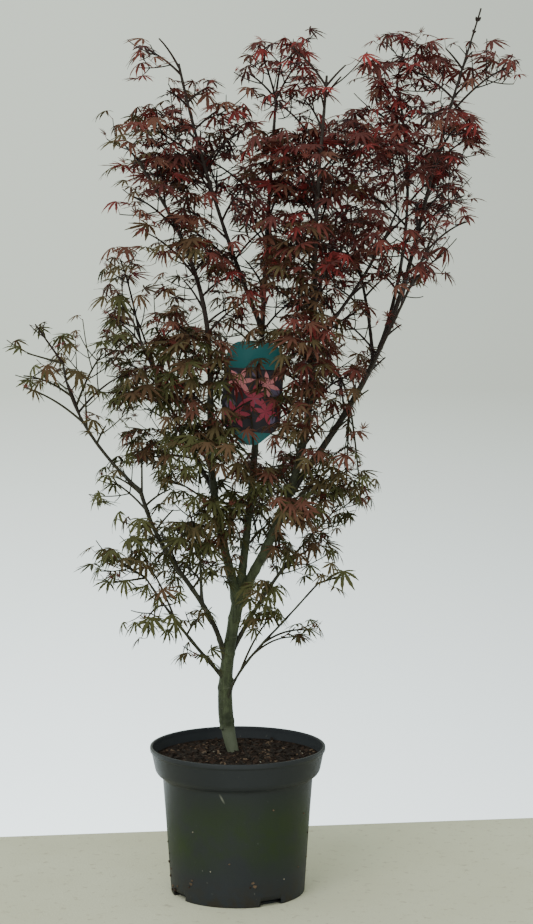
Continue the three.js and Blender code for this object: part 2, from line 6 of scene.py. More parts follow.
import bpy
import numpy as np
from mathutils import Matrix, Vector, noise
from mathutils.geometry import delaunay_2d_cdt


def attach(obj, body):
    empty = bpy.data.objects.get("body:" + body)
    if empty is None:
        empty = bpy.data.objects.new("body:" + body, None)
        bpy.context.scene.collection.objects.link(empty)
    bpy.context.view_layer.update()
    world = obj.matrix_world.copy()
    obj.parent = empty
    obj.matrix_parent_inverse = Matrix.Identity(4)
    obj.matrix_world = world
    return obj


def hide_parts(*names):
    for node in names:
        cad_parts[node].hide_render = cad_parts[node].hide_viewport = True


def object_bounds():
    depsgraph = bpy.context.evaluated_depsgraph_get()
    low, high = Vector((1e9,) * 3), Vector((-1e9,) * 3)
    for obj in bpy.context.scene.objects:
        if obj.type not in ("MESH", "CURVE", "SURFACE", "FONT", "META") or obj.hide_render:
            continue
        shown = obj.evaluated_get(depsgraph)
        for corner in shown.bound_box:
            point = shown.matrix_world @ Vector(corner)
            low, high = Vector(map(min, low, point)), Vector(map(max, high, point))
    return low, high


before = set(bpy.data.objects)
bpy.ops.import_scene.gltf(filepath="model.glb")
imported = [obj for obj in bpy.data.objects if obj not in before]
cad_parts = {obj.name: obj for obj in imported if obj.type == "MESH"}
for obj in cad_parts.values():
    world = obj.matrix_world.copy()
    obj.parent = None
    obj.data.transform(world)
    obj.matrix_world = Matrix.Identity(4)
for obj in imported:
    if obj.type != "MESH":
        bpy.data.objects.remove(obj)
cad_box = [list(corner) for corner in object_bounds()]

# Studio: a pale sanded floor that ends a little behind the pot, a plain pale surround and soft
# daylight from in front and above. None of it belongs to the plant.
CAMERA_PLACE = (0.046, -3.6, 1.06)
CAMERA_LENS = 89.45
CAMERA_TILT = math.radians(84.13)
CROWN_MIDDLE = (0, 0, 0.8)
LOW_SURROUND = (2.35, 2.65, 2.7)
HIGH_SURROUND = (0.93, 1.02, 0.89)
FLOOR_CORNERS = [(-4, -6, 0), (4.2, -6, 0), (4.2, 0.95, 0), (-4, -0.174, 0)]


def put(name, data):
    """A new object in the scene."""
    thing = bpy.data.objects.new(name, data)
    bpy.context.scene.collection.objects.link(thing)
    return thing


camera = put("camera", bpy.data.cameras.new("camera"))
camera.data.lens = CAMERA_LENS
camera.location = CAMERA_PLACE
camera.rotation_euler = (CAMERA_TILT, 0, 0)
bpy.context.scene.camera = camera


def softbox(name, place, aim, size, power, colour):
    """A square lamp at a place, facing the point it is aimed at."""
    lamp = put(name, bpy.data.lights.new(name, "AREA"))
    lamp.data.size = size
    lamp.data.energy = power
    lamp.data.color = colour
    lamp.location = place
    x, y, z = np.array(aim, float) - np.array(place, float)
    lamp.rotation_euler = (math.atan2(math.hypot(x, y), -z), 0, math.atan2(y, x) - math.pi / 2)


softbox("window_light", (-1.6, -3.2, 2.9), CROWN_MIDDLE, size=2.2, power=84, colour=(1.0, 1.0, 0.98))
softbox("room_fill", (0.7, -4.2, 1.5), CROWN_MIDDLE, size=2.6, power=43, colour=(0.97, 0.99, 1.0))


def node(tree, kind, inputs=None, **settings):
    """A new shader node with its settings and its unlinked inputs."""
    made = tree.nodes.new(kind)
    for name, value in settings.items():
        setattr(made, name, value)
    for name, value in (inputs or {}).items():
        made.inputs[name].default_value = value
    return made


def ramp(tree, start, end, low=0.0, high=1.0):
    """A node that runs from low to high as its value goes from start to end."""
    values = {"From Min": start, "From Max": end, "To Min": low, "To Max": high}
    return node(tree, "ShaderNodeMapRange", values)


def join(tree, *links):
    """Links given as (from node, output, to node, input)."""
    for source, output, target, entry in links:
        tree.links.new(source.outputs[output], target.inputs[entry])


surround = bpy.data.worlds.new("surround")
bpy.context.scene.world = surround
surround.use_nodes = True
sky = surround.node_tree
sky_way = node(sky, "ShaderNodeTexCoord")
sky_split = node(sky, "ShaderNodeSeparateXYZ")
sky_rise = ramp(sky, -0.26, -0.07)
sky_blend = node(
    sky, "ShaderNodeMix", {"A": (*LOW_SURROUND, 1), "B": (*HIGH_SURROUND, 1)}, data_type="RGBA"
)
sky_side = ramp(sky, -0.08, 0.13, 1.0, 0.78)
sky_shown = sky.nodes["Background"]
join(
    sky,
    (sky_way, "Generated", sky_split, 0),
    (sky_split, "Z", sky_rise, "Value"), (sky_split, "X", sky_side, "Value"),
    (sky_rise, "Result", sky_blend, "Factor"),
    (sky_blend, "Result", sky_shown, "Color"), (sky_side, "Result", sky_shown, "Strength"),
)


def new_group(name, output, **inputs):
    """An empty node group: one number out, and its numbers in, each with its start value."""
    group = bpy.data.node_groups.new(name, "ShaderNodeTree")
    for socket, start in inputs.items():
        group.interface.new_socket(socket, in_out="INPUT", socket_type="NodeSocketFloat")
        group.interface.items_tree[socket].default_value = start
    group.interface.new_socket(output, in_out="OUTPUT", socket_type="NodeSocketFloat")
    return group


def patches_group():
    """Soft-edged patches over a surface: how big, how much of it they cover, how soft."""
    group = new_group("patches", "Mask", Scale=20.0, Cover=0.5, Soft=0.1, Turn=0.0)
    entry = node(group, "NodeGroupInput")
    place = node(group, "ShaderNodeTexCoord")
    cloud = node(group, "ShaderNodeTexNoise", {"Detail": 5.0, "Roughness": 0.6}, noise_dimensions="4D")
    bare = node(group, "ShaderNodeMath", {0: 1.0}, operation="SUBTRACT")
    spread = ramp(group, 0.28, 0.72)
    low = node(group, "ShaderNodeMath", operation="SUBTRACT")
    high = node(group, "ShaderNodeMath", operation="ADD")
    mask = node(group, "ShaderNodeMapRange", interpolation_type="SMOOTHSTEP")
    leave = node(group, "NodeGroupOutput")
    join(
        group,
        (place, "Object", cloud, "Vector"), (entry, "Scale", cloud, "Scale"),
        (entry, "Turn", cloud, "W"), (cloud, "Fac", spread, "Value"), (entry, "Cover", bare, 1),
        (bare, 0, low, 0), (entry, "Soft", low, 1), (bare, 0, high, 0), (entry, "Soft", high, 1),
        (spread, "Result", mask, "Value"), (low, 0, mask, "From Min"), (high, 0, mask, "From Max"),
        (mask, "Result", leave, "Mask"),
    )
    return group


def grain_group():
    """Fine relief, drawn out along one direction by Stretch: a height for a Bump node."""
    group = new_group("grain", "Height", Scale=300.0, Stretch=1.0, Detail=6.0)
    entry = node(group, "NodeGroupInput")
    place = node(group, "ShaderNodeTexCoord")
    drawn = node(group, "ShaderNodeCombineXYZ", {"X": 1.0, "Y": 1.0})
    squeeze = node(group, "ShaderNodeMath", {0: 1.0}, operation="DIVIDE")
    scaled = node(group, "ShaderNodeVectorMath", operation="MULTIPLY")
    cloud = node(group, "ShaderNodeTexNoise", {"Roughness": 0.65})
    leave = node(group, "NodeGroupOutput")
    join(
        group,
        (entry, "Stretch", squeeze, 1), (squeeze, 0, drawn, "Z"),
        (place, "Object", scaled, 0), (drawn, 0, scaled, 1), (scaled, 0, cloud, "Vector"),
        (entry, "Scale", cloud, "Scale"), (entry, "Detail", cloud, "Detail"),
        (cloud, "Fac", leave, "Height"),
    )
    return group


PATCHES = patches_group()
GRAIN = grain_group()


def finish(name, colour, roughness, **sockets):
    """A material with its Principled shader; the sockets are constants set on it."""
    material = bpy.data.materials.new(name)
    material.use_nodes = True
    shader = material.node_tree.nodes["Principled BSDF"]
    shader.inputs["Base Color"].default_value = (*colour, 1)
    shader.inputs["Roughness"].default_value = roughness
    for socket, value in sockets.items():
        shader.inputs[socket.replace("_", " ")].default_value = value
    return material


def placed(material, group, **values):
    """A node group placed in a material with its own values."""
    made = material.node_tree.nodes.new("ShaderNodeGroup")
    made.node_tree = group
    for name, value in values.items():
        made.inputs[name].default_value = value
    return made


def layered(material, *layers):
    """Feeds Base Color: each layer is (mask node, output, colour) laid over the colour below."""
    tree = material.node_tree
    shown = tree.nodes["Principled BSDF"].inputs["Base Color"]
    below = None
    for mask, output, colour in layers:
        mix = node(tree, "ShaderNodeMix", {"A": shown.default_value, "B": (*colour, 1)}, data_type="RGBA")
        if below is not None:
            tree.links.new(below, mix.inputs["A"])
        tree.links.new(mask.outputs[output], mix.inputs["Factor"])
        below = mix.outputs["Result"]
    tree.links.new(below, shown)


def bumped(material, height, output, distance, strength=1.0):
    """Feeds Normal from a height."""
    tree = material.node_tree
    bump = node(tree, "ShaderNodeBump", {"Strength": strength, "Distance": distance})
    tree.links.new(height.outputs[output], bump.inputs["Height"])
    tree.links.new(bump.outputs["Normal"], tree.nodes["Principled BSDF"].inputs["Normal"])


floor_finish = finish("sanded_floor", (0.68, 0.675, 0.53), 0.85)
floor_shade = placed(floor_finish, PATCHES, Scale=2.5, Cover=0.5, Soft=0.5)
floor_dirt = placed(floor_finish, PATCHES, Scale=60, Cover=0.22, Soft=0.15, Turn=3)
layered(
    floor_finish, (floor_shade, "Mask", (0.61, 0.60, 0.455)), (floor_dirt, "Mask", (0.50, 0.47, 0.36))
)
bumped(floor_finish, placed(floor_finish, GRAIN, Scale=220), "Height", 0.001)

floor_mesh = bpy.data.meshes.new("floor")
floor_mesh.from_pydata(FLOOR_CORNERS, [], [(0, 1, 2, 3)])
floor = put("floor", floor_mesh)
floor_mesh.materials.append(floor_finish)

# Pot: a ten-litre nursery pot of thin black polypropylene, injection moulded, with a deep
# stepped collar, a rolled lip and four drainage notches round its foot. It has stood outdoors,
# so it is scuffed, dusty and green with algae low down.
MM = 0.001
POT_HEIGHT = 236 * MM
RIM_RADIUS = 140 * MM
COLLAR_DEPTH = 46 * MM
COLLAR_FOOT_RADIUS = 131 * MM
BODY_TOP_RADIUS = 120 * MM
FOOT_RADIUS = 107 * MM
WALL = 2.2 * MM
FLOOR = 3 * MM
LIP = 4 * MM
POT_SIDES = 144
NOTCHES = 4
NOTCH_TURN = math.radians(30)
NOTCH = (38 * MM, 26 * MM, 10 * MM)
NOTCH_ROUND = 4 * MM
HUB = 1 * MM
STEP_HEIGHT = POT_HEIGHT - COLLAR_DEPTH
UNDER_STEP, OVER_STEP, OVER_STEP_INSIDE = 3 * MM, 5 * MM, 3 * MM
BAND, BAND_FOOT, BAND_PROUD = 7 * MM, 9 * MM, 2.4 * MM
LIP_SLOPE = 0.5 * MM
EDGE_ROUND, STEP_ROUND, COLLAR_ROUND, FLOOR_ROUND = 2 * MM, 3 * MM, 6 * MM, 1 * MM
RING_HEIGHTS = (18 * MM, 50 * MM, 90 * MM, 130 * MM)
DENT_HEIGHTS = (0, 0.05, 0.15, 0.2)
DENT_DEPTHS = (0, 0.3 * MM, 0.6 * MM, 0)
DENTS_ROUND = 3
LONGEST_ROUND = 0.45
# Heights in metres: the algae comes in over the first two and goes out over the next, and stuck
# earth comes in down to the foot. Then the pale scuff, how sharply it ends and how it leans.
ALGAE_LOW, ALGAE_HIGH, EARTH = (0.04, 0.085), (0.19, 0.12), (0.05, 0.0)
SCUFF_PLACE = (-0.023, -0.117, 0.177)
SCUFF_SHARPNESS = (480, 40, 100)
SCUFF_LEAN = 0.5


def roughened(material, mask, output, smooth, rough):
    """Feeds Roughness from a mask, between two values."""
    tree = material.node_tree
    spread = ramp(tree, 0.0, 1.0, smooth, rough)
    tree.links.new(mask.outputs[output], spread.inputs["Value"])
    tree.links.new(spread.outputs["Result"], tree.nodes["Principled BSDF"].inputs["Roughness"])


def softened(corners, radii, steps=4):
    """A profile with each corner rounded by its own radius, as far as its two sides allow."""
    corners = [np.array(corner, float) for corner in corners]
    line = [corners[0]]
    for before, corner, after, radius in zip(corners, corners[1:], corners[2:], radii[1:]):
        back, on = before - corner, after - corner
        reach = min(radius, LONGEST_ROUND * np.hypot(*back), LONGEST_ROUND * np.hypot(*on))
        start = corner + back / np.hypot(*back) * reach
        end = corner + on / np.hypot(*on) * reach
        if radius:
            for t in np.linspace(0, 1, steps + 1):
                line.append(start * (1 - t) ** 2 + 2 * corner * t * (1 - t) + end * t ** 2)
        else:
            line.append(corner)
    return line + [corners[-1]]


def mesh_of(name, parts, materials, smooth=True):
    """One mesh from parts given as (corner places, lists of faces of one size, material index)."""
    mesh = bpy.data.meshes.new(name)
    places = np.concatenate([part[0] for part in parts])
    first, corners, sizes, slots = 0, [], [], []
    for points, kinds, slot in parts:
        for faces in kinds:
            corners.append(faces.ravel() + first)
            sizes.append(np.full(len(faces), faces.shape[1]))
            slots.append(np.full(len(faces), slot))
        first += len(points)
    corners, sizes, slots = (np.concatenate(rows) for rows in (corners, sizes, slots))
    mesh.vertices.add(len(places))
    mesh.vertices.foreach_set("co", places.ravel())
    mesh.loops.add(len(corners))
    mesh.loops.foreach_set("vertex_index", corners)
    mesh.polygons.add(len(sizes))
    mesh.polygons.foreach_set("loop_start", np.concatenate([[0], np.cumsum(sizes)[:-1]]))
    mesh.polygons.foreach_set("material_index", slots)
    mesh.polygons.foreach_set("use_smooth", np.full(len(sizes), smooth))
    for material in materials:
        mesh.materials.append(material)
    mesh.update(calc_edges=True)
    mesh.validate()
    return mesh


def ring_faces(rings, sides, closed=False):
    """Four-sided faces from each ring of corners to the next, and from the last to the first."""
    r, k = np.meshgrid(np.arange(rings if closed else rings - 1), np.arange(sides), indexing="ij")
    r2, k2 = (r + 1) % rings, (k + 1) % sides
    faces = np.stack([r * sides + k, r * sides + k2, r2 * sides + k2, r2 * sides + k], -1)
    return [faces.reshape(-1, 4)]


def lathe(profile, sides, closed=True):
    """Corners and faces of a profile of (radius, height) turned round the upright axis."""
    profile = np.array(profile)
    angles = np.linspace(0, 2 * np.pi, sides, endpoint=False)
    places = np.stack([
        profile[:, None, 0] * np.cos(angles), profile[:, None, 0] * np.sin(angles),
        np.broadcast_to(profile[:, None, 1], (len(profile), sides)),
    ], axis=-1)
    return places.reshape(-1, 3), ring_faces(len(profile), sides, closed)


def wall_radius(up):
    """The radius of the body's outside at a height."""
    return FOOT_RADIUS + (BODY_TOP_RADIUS - FOOT_RADIUS) * up / STEP_HEIGHT


BODY_RINGS = [(wall_radius(up), up) for up in RING_HEIGHTS]
# The wall's section, up its outside and down its inside: each corner and how far it is rounded.
pot_corners = [
    ((HUB, 0), 0), ((FOOT_RADIUS, 0), EDGE_ROUND), *[(ring, 0) for ring in BODY_RINGS],
    ((BODY_TOP_RADIUS, STEP_HEIGHT - UNDER_STEP), STEP_ROUND),
    ((COLLAR_FOOT_RADIUS, STEP_HEIGHT + OVER_STEP), COLLAR_ROUND),
    ((RIM_RADIUS - BAND_PROUD, POT_HEIGHT - BAND_FOOT), EDGE_ROUND),
    ((RIM_RADIUS, POT_HEIGHT - BAND), EDGE_ROUND), ((RIM_RADIUS, POT_HEIGHT), EDGE_ROUND),
    ((RIM_RADIUS - LIP, POT_HEIGHT), EDGE_ROUND),
    ((RIM_RADIUS - LIP - LIP_SLOPE, POT_HEIGHT - BAND), EDGE_ROUND),
    ((COLLAR_FOOT_RADIUS - WALL, STEP_HEIGHT + OVER_STEP_INSIDE), EDGE_ROUND),
    ((BODY_TOP_RADIUS - WALL, STEP_HEIGHT - UNDER_STEP), EDGE_ROUND),
    *[((radius - WALL, up), 0) for radius, up in BODY_RINGS[::-1]],
    ((FOOT_RADIUS - WALL, FLOOR), FLOOR_ROUND), ((HUB, FLOOR), 0),
]
pot_points, pot_faces = lathe(softened(*zip(*pot_corners)), POT_SIDES)
turns = np.arctan2(pot_points[:, 1], pot_points[:, 0])
dent = np.interp(pot_points[:, 2], DENT_HEIGHTS, DENT_DEPTHS)
pot_points[:, 0] -= dent * np.cos(turns) * (1 + np.sin(DENTS_ROUND * turns)) / 2
pot_points[:, 1] -= dent * np.sin(turns) * (1 + np.sin(DENTS_ROUND * turns)) / 2

pot_finish = finish("weathered_black_plastic", (0.0125, 0.0150, 0.0195), 0.5, Specular_IOR_Level=0.28)
pot_tree = pot_finish.node_tree
pot_place = node(pot_tree, "ShaderNodeTexCoord")
pot_up = node(pot_tree, "ShaderNodeSeparateXYZ")
algae_low, algae_high, earth_low = (
    ramp(pot_tree, *heights) for heights in (ALGAE_LOW, ALGAE_HIGH, EARTH)
)
algae_band = node(pot_tree, "ShaderNodeMath", operation="MULTIPLY")
algae_cloud = placed(pot_finish, PATCHES, Scale=9, Cover=0.6, Soft=0.35, Turn=1.7)
algae = node(pot_tree, "ShaderNodeMath", operation="MULTIPLY")
earth_cloud = placed(pot_finish, PATCHES, Scale=45, Cover=0.45, Soft=0.3, Turn=5)
earth = node(pot_tree, "ShaderNodeMath", operation="MULTIPLY")
join(
    pot_tree,
    (pot_place, "Object", pot_up, 0),
    (pot_up, "Z", algae_low, "Value"), (pot_up, "Z", algae_high, "Value"),
    (algae_low, 0, algae_band, 0), (algae_high, 0, algae_band, 1),
    (algae_band, 0, algae, 0), (algae_cloud, "Mask", algae, 1),
    (pot_up, "Z", earth_low, "Value"), (earth_low, 0, earth, 0), (earth_cloud, "Mask", earth, 1),
)
scuff = node(pot_tree, "ShaderNodeVectorMath", {1: SCUFF_PLACE}, operation="SUBTRACT")
scuff_long = node(pot_tree, "ShaderNodeVectorMath", {1: SCUFF_SHARPNESS}, operation="MULTIPLY")
scuff_lean = node(pot_tree, "ShaderNodeVectorRotate", {"Angle": SCUFF_LEAN}, rotation_type="Y_AXIS")
scuff_away = node(pot_tree, "ShaderNodeVectorMath", operation="LENGTH")
scuffed = ramp(pot_tree, 1.0, 0.2, high=0.75)
join(
    pot_tree,
    (pot_place, "Object", scuff, 0), (scuff, 0, scuff_lean, 0), (scuff_lean, 0, scuff_long, 0),
    (scuff_long, 0, scuff_away, 0), (scuff_away, 1, scuffed, "Value"),
)
dust = placed(pot_finish, PATCHES, Scale=6, Cover=0.5, Soft=0.5, Turn=9)
specks = placed(pot_finish, PATCHES, Scale=160, Cover=0.07, Soft=0.04, Turn=2)
layered(
    pot_finish,
    (dust, "Mask", (0.0185, 0.0215, 0.0270)),
    (algae, 0, (0.0150, 0.0290, 0.0055)),
    (earth, 0, (0.0200, 0.0165, 0.0120)),
    (specks, "Mask", (0.085, 0.088, 0.080)),
    (scuffed, 0, (0.16, 0.165, 0.14)),
)
roughened(pot_finish, dust, "Mask", 0.42, 0.62)
bumped(pot_finish, placed(pot_finish, GRAIN, Scale=500, Stretch=0.4), "Height", 0.0004)

pot = put("pot_shell", mesh_of("pot_shell", [(pot_points, pot_faces, 0)], [pot_finish]))


def spun(across, up, turn):
    """A place on a plane, turned about the plane's middle."""
    return across * math.cos(turn) - up * math.sin(turn), across * math.sin(turn) + up * math.cos(turn)


def notch_cutter(turn):
    """A rounded block that cuts one drainage notch through the foot of the wall."""
    wide, deep, high = NOTCH
    outline = softened(
        [(-wide / 2, -high), (-wide / 2, high), (wide / 2, high), (wide / 2, -high)],
        [0, NOTCH_ROUND, NOTCH_ROUND, 0],
    )
    count = len(outline)
    ends_at = (-FOOT_RADIUS - deep / 2, -FOOT_RADIUS + deep / 2)
    places = [(*spun(across, out, turn), up) for out in ends_at for across, up in outline]
    mesh = bpy.data.meshes.new("notch")
    sides = [(i, (i + 1) % count, (i + 1) % count + count, i + count) for i in range(count)]
    ends = [tuple(range(count))[::-1], tuple(range(count, 2 * count))]
    mesh.from_pydata(places, [], ends + sides)
    return put("notch", mesh)


def made_final(thing):
    """Replaces a piece's mesh by what its modifiers make of it."""
    seen = bpy.context.evaluated_depsgraph_get()
    seen.update()
    mesh = bpy.data.meshes.new_from_object(thing.evaluated_get(seen))
    thing.modifiers.clear()
    thing.data = mesh


cutters = [notch_cutter(NOTCH_TURN + i * 2 * math.pi / NOTCHES) for i in range(NOTCHES)]
for cutter in cutters:
    cut = pot.modifiers.new("notch", "BOOLEAN")
    cut.operation = "DIFFERENCE"
    cut.solver = "EXACT"
    cut.object = cutter
made_final(pot)
for cutter in cutters:
    bpy.data.objects.remove(cutter)
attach(pot, "root")
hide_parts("pot")

# Compost: dark peat and composted bark that fills the pot to two centimetres below the rim,
# a little higher round the trunk, with bark chips, pale wood and grit lying on it.
SOIL_EDGE = 215 * MM
SOIL_TOP = 221 * MM
SOIL_RADIUS = 133 * MM
SOIL_SIDES = 150
SOIL_RINGS = 46
SOIL_LUMPS = ((2.6 * MM, 45, 3), (1.5 * MM, 140, 8), (1.0 * MM, 420, 5))
SOIL_INSIDE = (
    (SOIL_RADIUS, SOIL_EDGE + 2 * MM), (127 * MM, STEP_HEIGHT + 6 * MM), (116 * MM, STEP_HEIGHT),
    (103 * MM, 12 * MM), (1 * MM, 11 * MM),
)
# What lies on the compost: colour, how much of it there is and its longest piece. The first kind
# is a crumb of the compost itself.
CHIP_KINDS = {
    "damp_compost": ((0.011, 0.008, 0.006), 0.30, 6), "dark_bark_chip": ((0.020, 0.013, 0.010), 0.36, 11),
    "brown_bark_chip": ((0.046, 0.026, 0.018), 0.25, 9), "tan_wood_chip": ((0.150, 0.100, 0.066), 0.06, 8),
    "pale_grit": ((0.34, 0.31, 0.25), 0.03, 4),
}
CHIPS_LYING = 2200
CHIP_SPREAD = 0.97 * SOIL_RADIUS
SHORTEST_CHIP = 2.5
CHIP_WIDTH = (0.35, 0.8)
CHIP_THICKNESS = (0.15, 0.4)
CHIP_UNEVEN = (-0.35, 0.25)
CHIP_STANDS = 0.3
CHIP_TILT = 0.5
TRUNK_FOOT = np.array([-7, 22]) * MM
TRUNK_CLEAR = 11 * MM
# Crumbs stuck to the outside of the pot: the way round from its right, height and size in
# millimetres, and kind.
STUCK_CRUMBS = (
    (196, 8, 5, 2), (199, 16, 4, 3), (193, 30, 4, 2), (196, 42, 3, 3), (191, 52, 4, 2), (194, 66, 3, 2),
    (204, 12, 5, 2), (209, 20, 3, 3), (190, 84, 3, 2), (228, 32, 5, 3), (230, 38, 3, 3), (226, 26, 3, 2),
    (283, 41, 4, 3), (285, 35, 5, 3), (281, 34, 3, 2), (248, 58, 2, 4), (264, 72, 2, 3), (312, 40, 2, 4),
    (299, 156, 2.5, 3), (233, 118, 2, 4), (330, 52, 2.5, 3), (334, 138, 3, 3), (347, 100, 3, 2),
    (349, 60, 3, 3),
)
CRUMB_SHAPE = np.array([1, 0.8, 0.7])
CRUMB_TILT = 1.0
soil_random = np.random.default_rng(11)


def soil_height(x, y):
    """How high the compost stands at a place."""
    away = math.hypot(x, y)
    dome = SOIL_EDGE + (SOIL_TOP - SOIL_EDGE) * max(0, 1 - away / SOIL_RADIUS)
    return dome + sum(rise * noise.noise((x * scale, y * scale, cut)) for rise, scale, cut in SOIL_LUMPS)


soil_rings = np.concatenate([[0.5 * MM], np.linspace(3 * MM, SOIL_RADIUS, SOIL_RINGS)])
soil_profile = [(radius, SOIL_EDGE) for radius in soil_rings]
soil_points, soil_faces = lathe(soil_profile, SOIL_SIDES, closed=False)
soil_points[:, 2] = [soil_height(x, y) for x, y in soil_points[:, :2]]
skirt_points, skirt_faces = lathe(SOIL_INSIDE, SOIL_SIDES, closed=False)


def mottled(name, colour, roughness, level, shade, **patches):
    """A material whose colour is darker in patches, by the share that shade gives."""
    made = finish(name, colour, roughness, Specular_IOR_Level=level)
    darker = placed(made, PATCHES, Turn=len(name), **patches)
    layered(made, (darker, "Mask", tuple(shade * part for part in colour)))
    return made


soil_name, *chip_names = CHIP_KINDS
soil_finish = finish(soil_name, CHIP_KINDS[soil_name][0], 0.95, Specular_IOR_Level=0.2)
soil_brown = placed(soil_finish, PATCHES, Scale=150, Cover=0.5, Soft=0.25)
soil_fibre = placed(soil_finish, PATCHES, Scale=420, Cover=0.25, Soft=0.12, Turn=4)
layered(
    soil_finish, (soil_brown, "Mask", (0.028, 0.017, 0.012)), (soil_fibre, "Mask", (0.050, 0.030, 0.020))
)
bumped(soil_finish, placed(soil_finish, GRAIN, Scale=480), "Height", 0.003)
chip_finishes = [soil_finish]
for name in chip_names:
    chip = mottled(
        name, CHIP_KINDS[name][0], roughness=0.9, level=0.25, shade=0.55, Scale=260, Cover=0.5, Soft=0.3
    )
    bumped(chip, placed(chip, GRAIN, Scale=600, Stretch=0.3), "Height", 0.001)
    chip_finishes.append(chip)

BOX_FACES = np.array([
    (0, 1, 3, 2), (4, 6, 7, 5), (0, 4, 5, 1), (2, 3, 7, 6), (0, 2, 6, 4), (1, 5, 7, 3),
])


def turned(random, tilt):
    """Three directions at right angles, turned at random and tilted up to an angle."""
    a = random.uniform(0, 2 * np.pi)
    b, c = random.uniform(-tilt, tilt), random.uniform(-tilt, tilt)
    flat = np.array([[np.cos(a), np.sin(a), 0], [-np.sin(a), np.cos(a), 0], [0, 0, 1]])
    lean = np.array([[np.cos(b), 0, np.sin(b)], [0, 1, 0], [-np.sin(b), 0, np.cos(b)]])
    roll = np.array([[1, 0, 0], [0, np.cos(c), np.sin(c)], [0, -np.sin(c), np.cos(c)]])
    return roll @ lean @ flat


def crumb(random, place, size, tilt, kind):
    """One irregular chip, as a part of a mesh."""
    signs = np.array([(x, y, z) for x in (-1, 1) for y in (-1, 1) for z in (-1, 1)]) / 2
    jitter = 1 + random.uniform(*CHIP_UNEVEN, signs.shape)
    return np.array(place) + (signs * jitter * size) @ turned(random, tilt), [BOX_FACES], kind


_, chip_shares, chip_lengths = zip(*CHIP_KINDS.values())
chips = []
for _ in range(CHIPS_LYING):
    away, angle = CHIP_SPREAD * math.sqrt(soil_random.random()), soil_random.uniform(0, 2 * np.pi)
    x, y = away * math.cos(angle), away * math.sin(angle)
    kind = soil_random.choice(len(CHIP_KINDS), p=chip_shares)
    long = soil_random.uniform(SHORTEST_CHIP, chip_lengths[kind]) * MM
    size = long * np.array([1, soil_random.uniform(*CHIP_WIDTH), soil_random.uniform(*CHIP_THICKNESS)])
    if math.hypot(x - TRUNK_FOOT[0], y - TRUNK_FOOT[1]) < TRUNK_CLEAR or away + long / 2 > SOIL_RADIUS:
        continue
    spot = (x, y, soil_height(x, y) + CHIP_STANDS * size[2])
    chips.append(crumb(soil_random, spot, size, CHIP_TILT, kind))
for round_turn, up, size, kind in STUCK_CRUMBS:
    out, way = wall_radius(up * MM), math.radians(round_turn)
    spot = (out * math.cos(way), out * math.sin(way), up * MM)
    chips.append(crumb(soil_random, spot, CRUMB_SHAPE * size * MM, CRUMB_TILT, kind))
compost_mesh = mesh_of(
    "compost_surface", [(soil_points, soil_faces, 0), (skirt_points, skirt_faces, 0), *chips],
    chip_finishes, smooth=False,
)
compost = put("compost_surface", compost_mesh)
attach(compost, "root")
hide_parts("soil")

# Trunk and the three leaders that fork from it: green-barked wood a finger thick, grafted on a
# paler rootstock, with a swelling at the graft, raised rings where leaves once grew and tips
# that were pruned square.
TRUNK = {
    "foot": (-7, 22, 218), "tip": (4, 16, 478), "bow": (-17, 0), "sway": -2,
    "thick": (18.5, 24.5, 21.5, 19, 20.5),
}
BOUGHS = {
    "left_leader": ("trunk", 0.95, (-149, -106, 1160), (33, 0), -24, (16, 4.6)),
    "middle_leader": ("trunk", 0.97, (62, 74, 1275), (6, -20), 3, (14.5, 4.6)),
    "right_stem": ("trunk", 0.96, (136, -130, 1284), (50, -10), 18, (16.5, 4.2)),
    "right_leader": ("right_stem", 0.215, (374, -38, 1391), (48, 60), 16, (11.5, 2.6)),
    "upper_left_leader": ("middle_leader", 0.53, (-87, -85, 1304), (-10, 0), 0, (7.5, 4)),
    "left_fork": ("left_leader", 0.26, (-168, 100, 905), (-6, 10), 0, (6.5, 3.6)),
    "far_left_low": ("trunk", 0.54, (-150, -45, 648), (3, 0), 10, (9, 6.6)),
    "far_left_high": ("far_left_low", 1, (-266, -82, 850), (-24, 0), 0, (6, 3.4)),
    "low_left_upright": ("far_left_low", 0.37, (-59, -18, 556), (0, 0), 0, (5.4, 3.4)),
    "low_left": ("trunk", 0.46, (-140, -96, 520), (-6, 0), 0, (7, 3.4)),
    "low_front": ("trunk", 0.29, (126, -85, 510), (-17, 0), -5, (5, 2.8)),
    "right_low_bough": ("trunk", 0.565, (84, 40, 530), (-7, 0), 0, (8, 5)),
    "right_fork": ("right_stem", 0.505, (250, 10, 1085), (12, 0), 0, (6, 3.4)),
    "right_back": ("right_leader", 0.27, (154, 190, 1130), (12, 0), 0, (6, 3.4)),
    "back_leader": ("right_leader", 0.3, (256, 150, 1290), (30, 10), 0, (6.5, 3.6)),
    "right_front": ("right_leader", 0.25, (306, -128, 1070), (3, 0), 0, (5.5, 3.4)),
}
MAIN_LIMBS = ("trunk", "left_leader", "middle_leader", "right_stem")
MAIN_SIDES, MAIN_STEP = 18, 4 * MM
MAIN_VOXEL = 1.15 * MM
TAPER = 0.8
NODE_STEP = 52 * MM
NODE_UNEVEN = (0.85, 1.2)
LAST_NODE = 5 * MM
RING_SWELL = 0.12
RING_WIDTH = 3.5 * MM
COLLAR_SWELL = 0.45
COLLAR_LENGTH = 11 * MM
# Stubs of pruned shoots: the limb, where on it, the way they point, and thickness at butt and end.
STUBS = (
    ("trunk", 0.16, (-8, -6, 2), 5.5, 5), ("trunk", 0.45, (9, -4, 3), 3.5, 3),
    ("trunk", 0.7, (-5, -9, 5), 3.2, 2.6), ("left_leader", 0.12, (-7, -6, 6), 3.2, 2.4),
    ("right_stem", 0.1, (6, -8, 6), 3.4, 2.6), ("middle_leader", 0.2, (-6, -6, 5), 3, 2.2),
)
STUB_RINGS = (0, 0.6, 1.4)
STUB_SIDES = 10
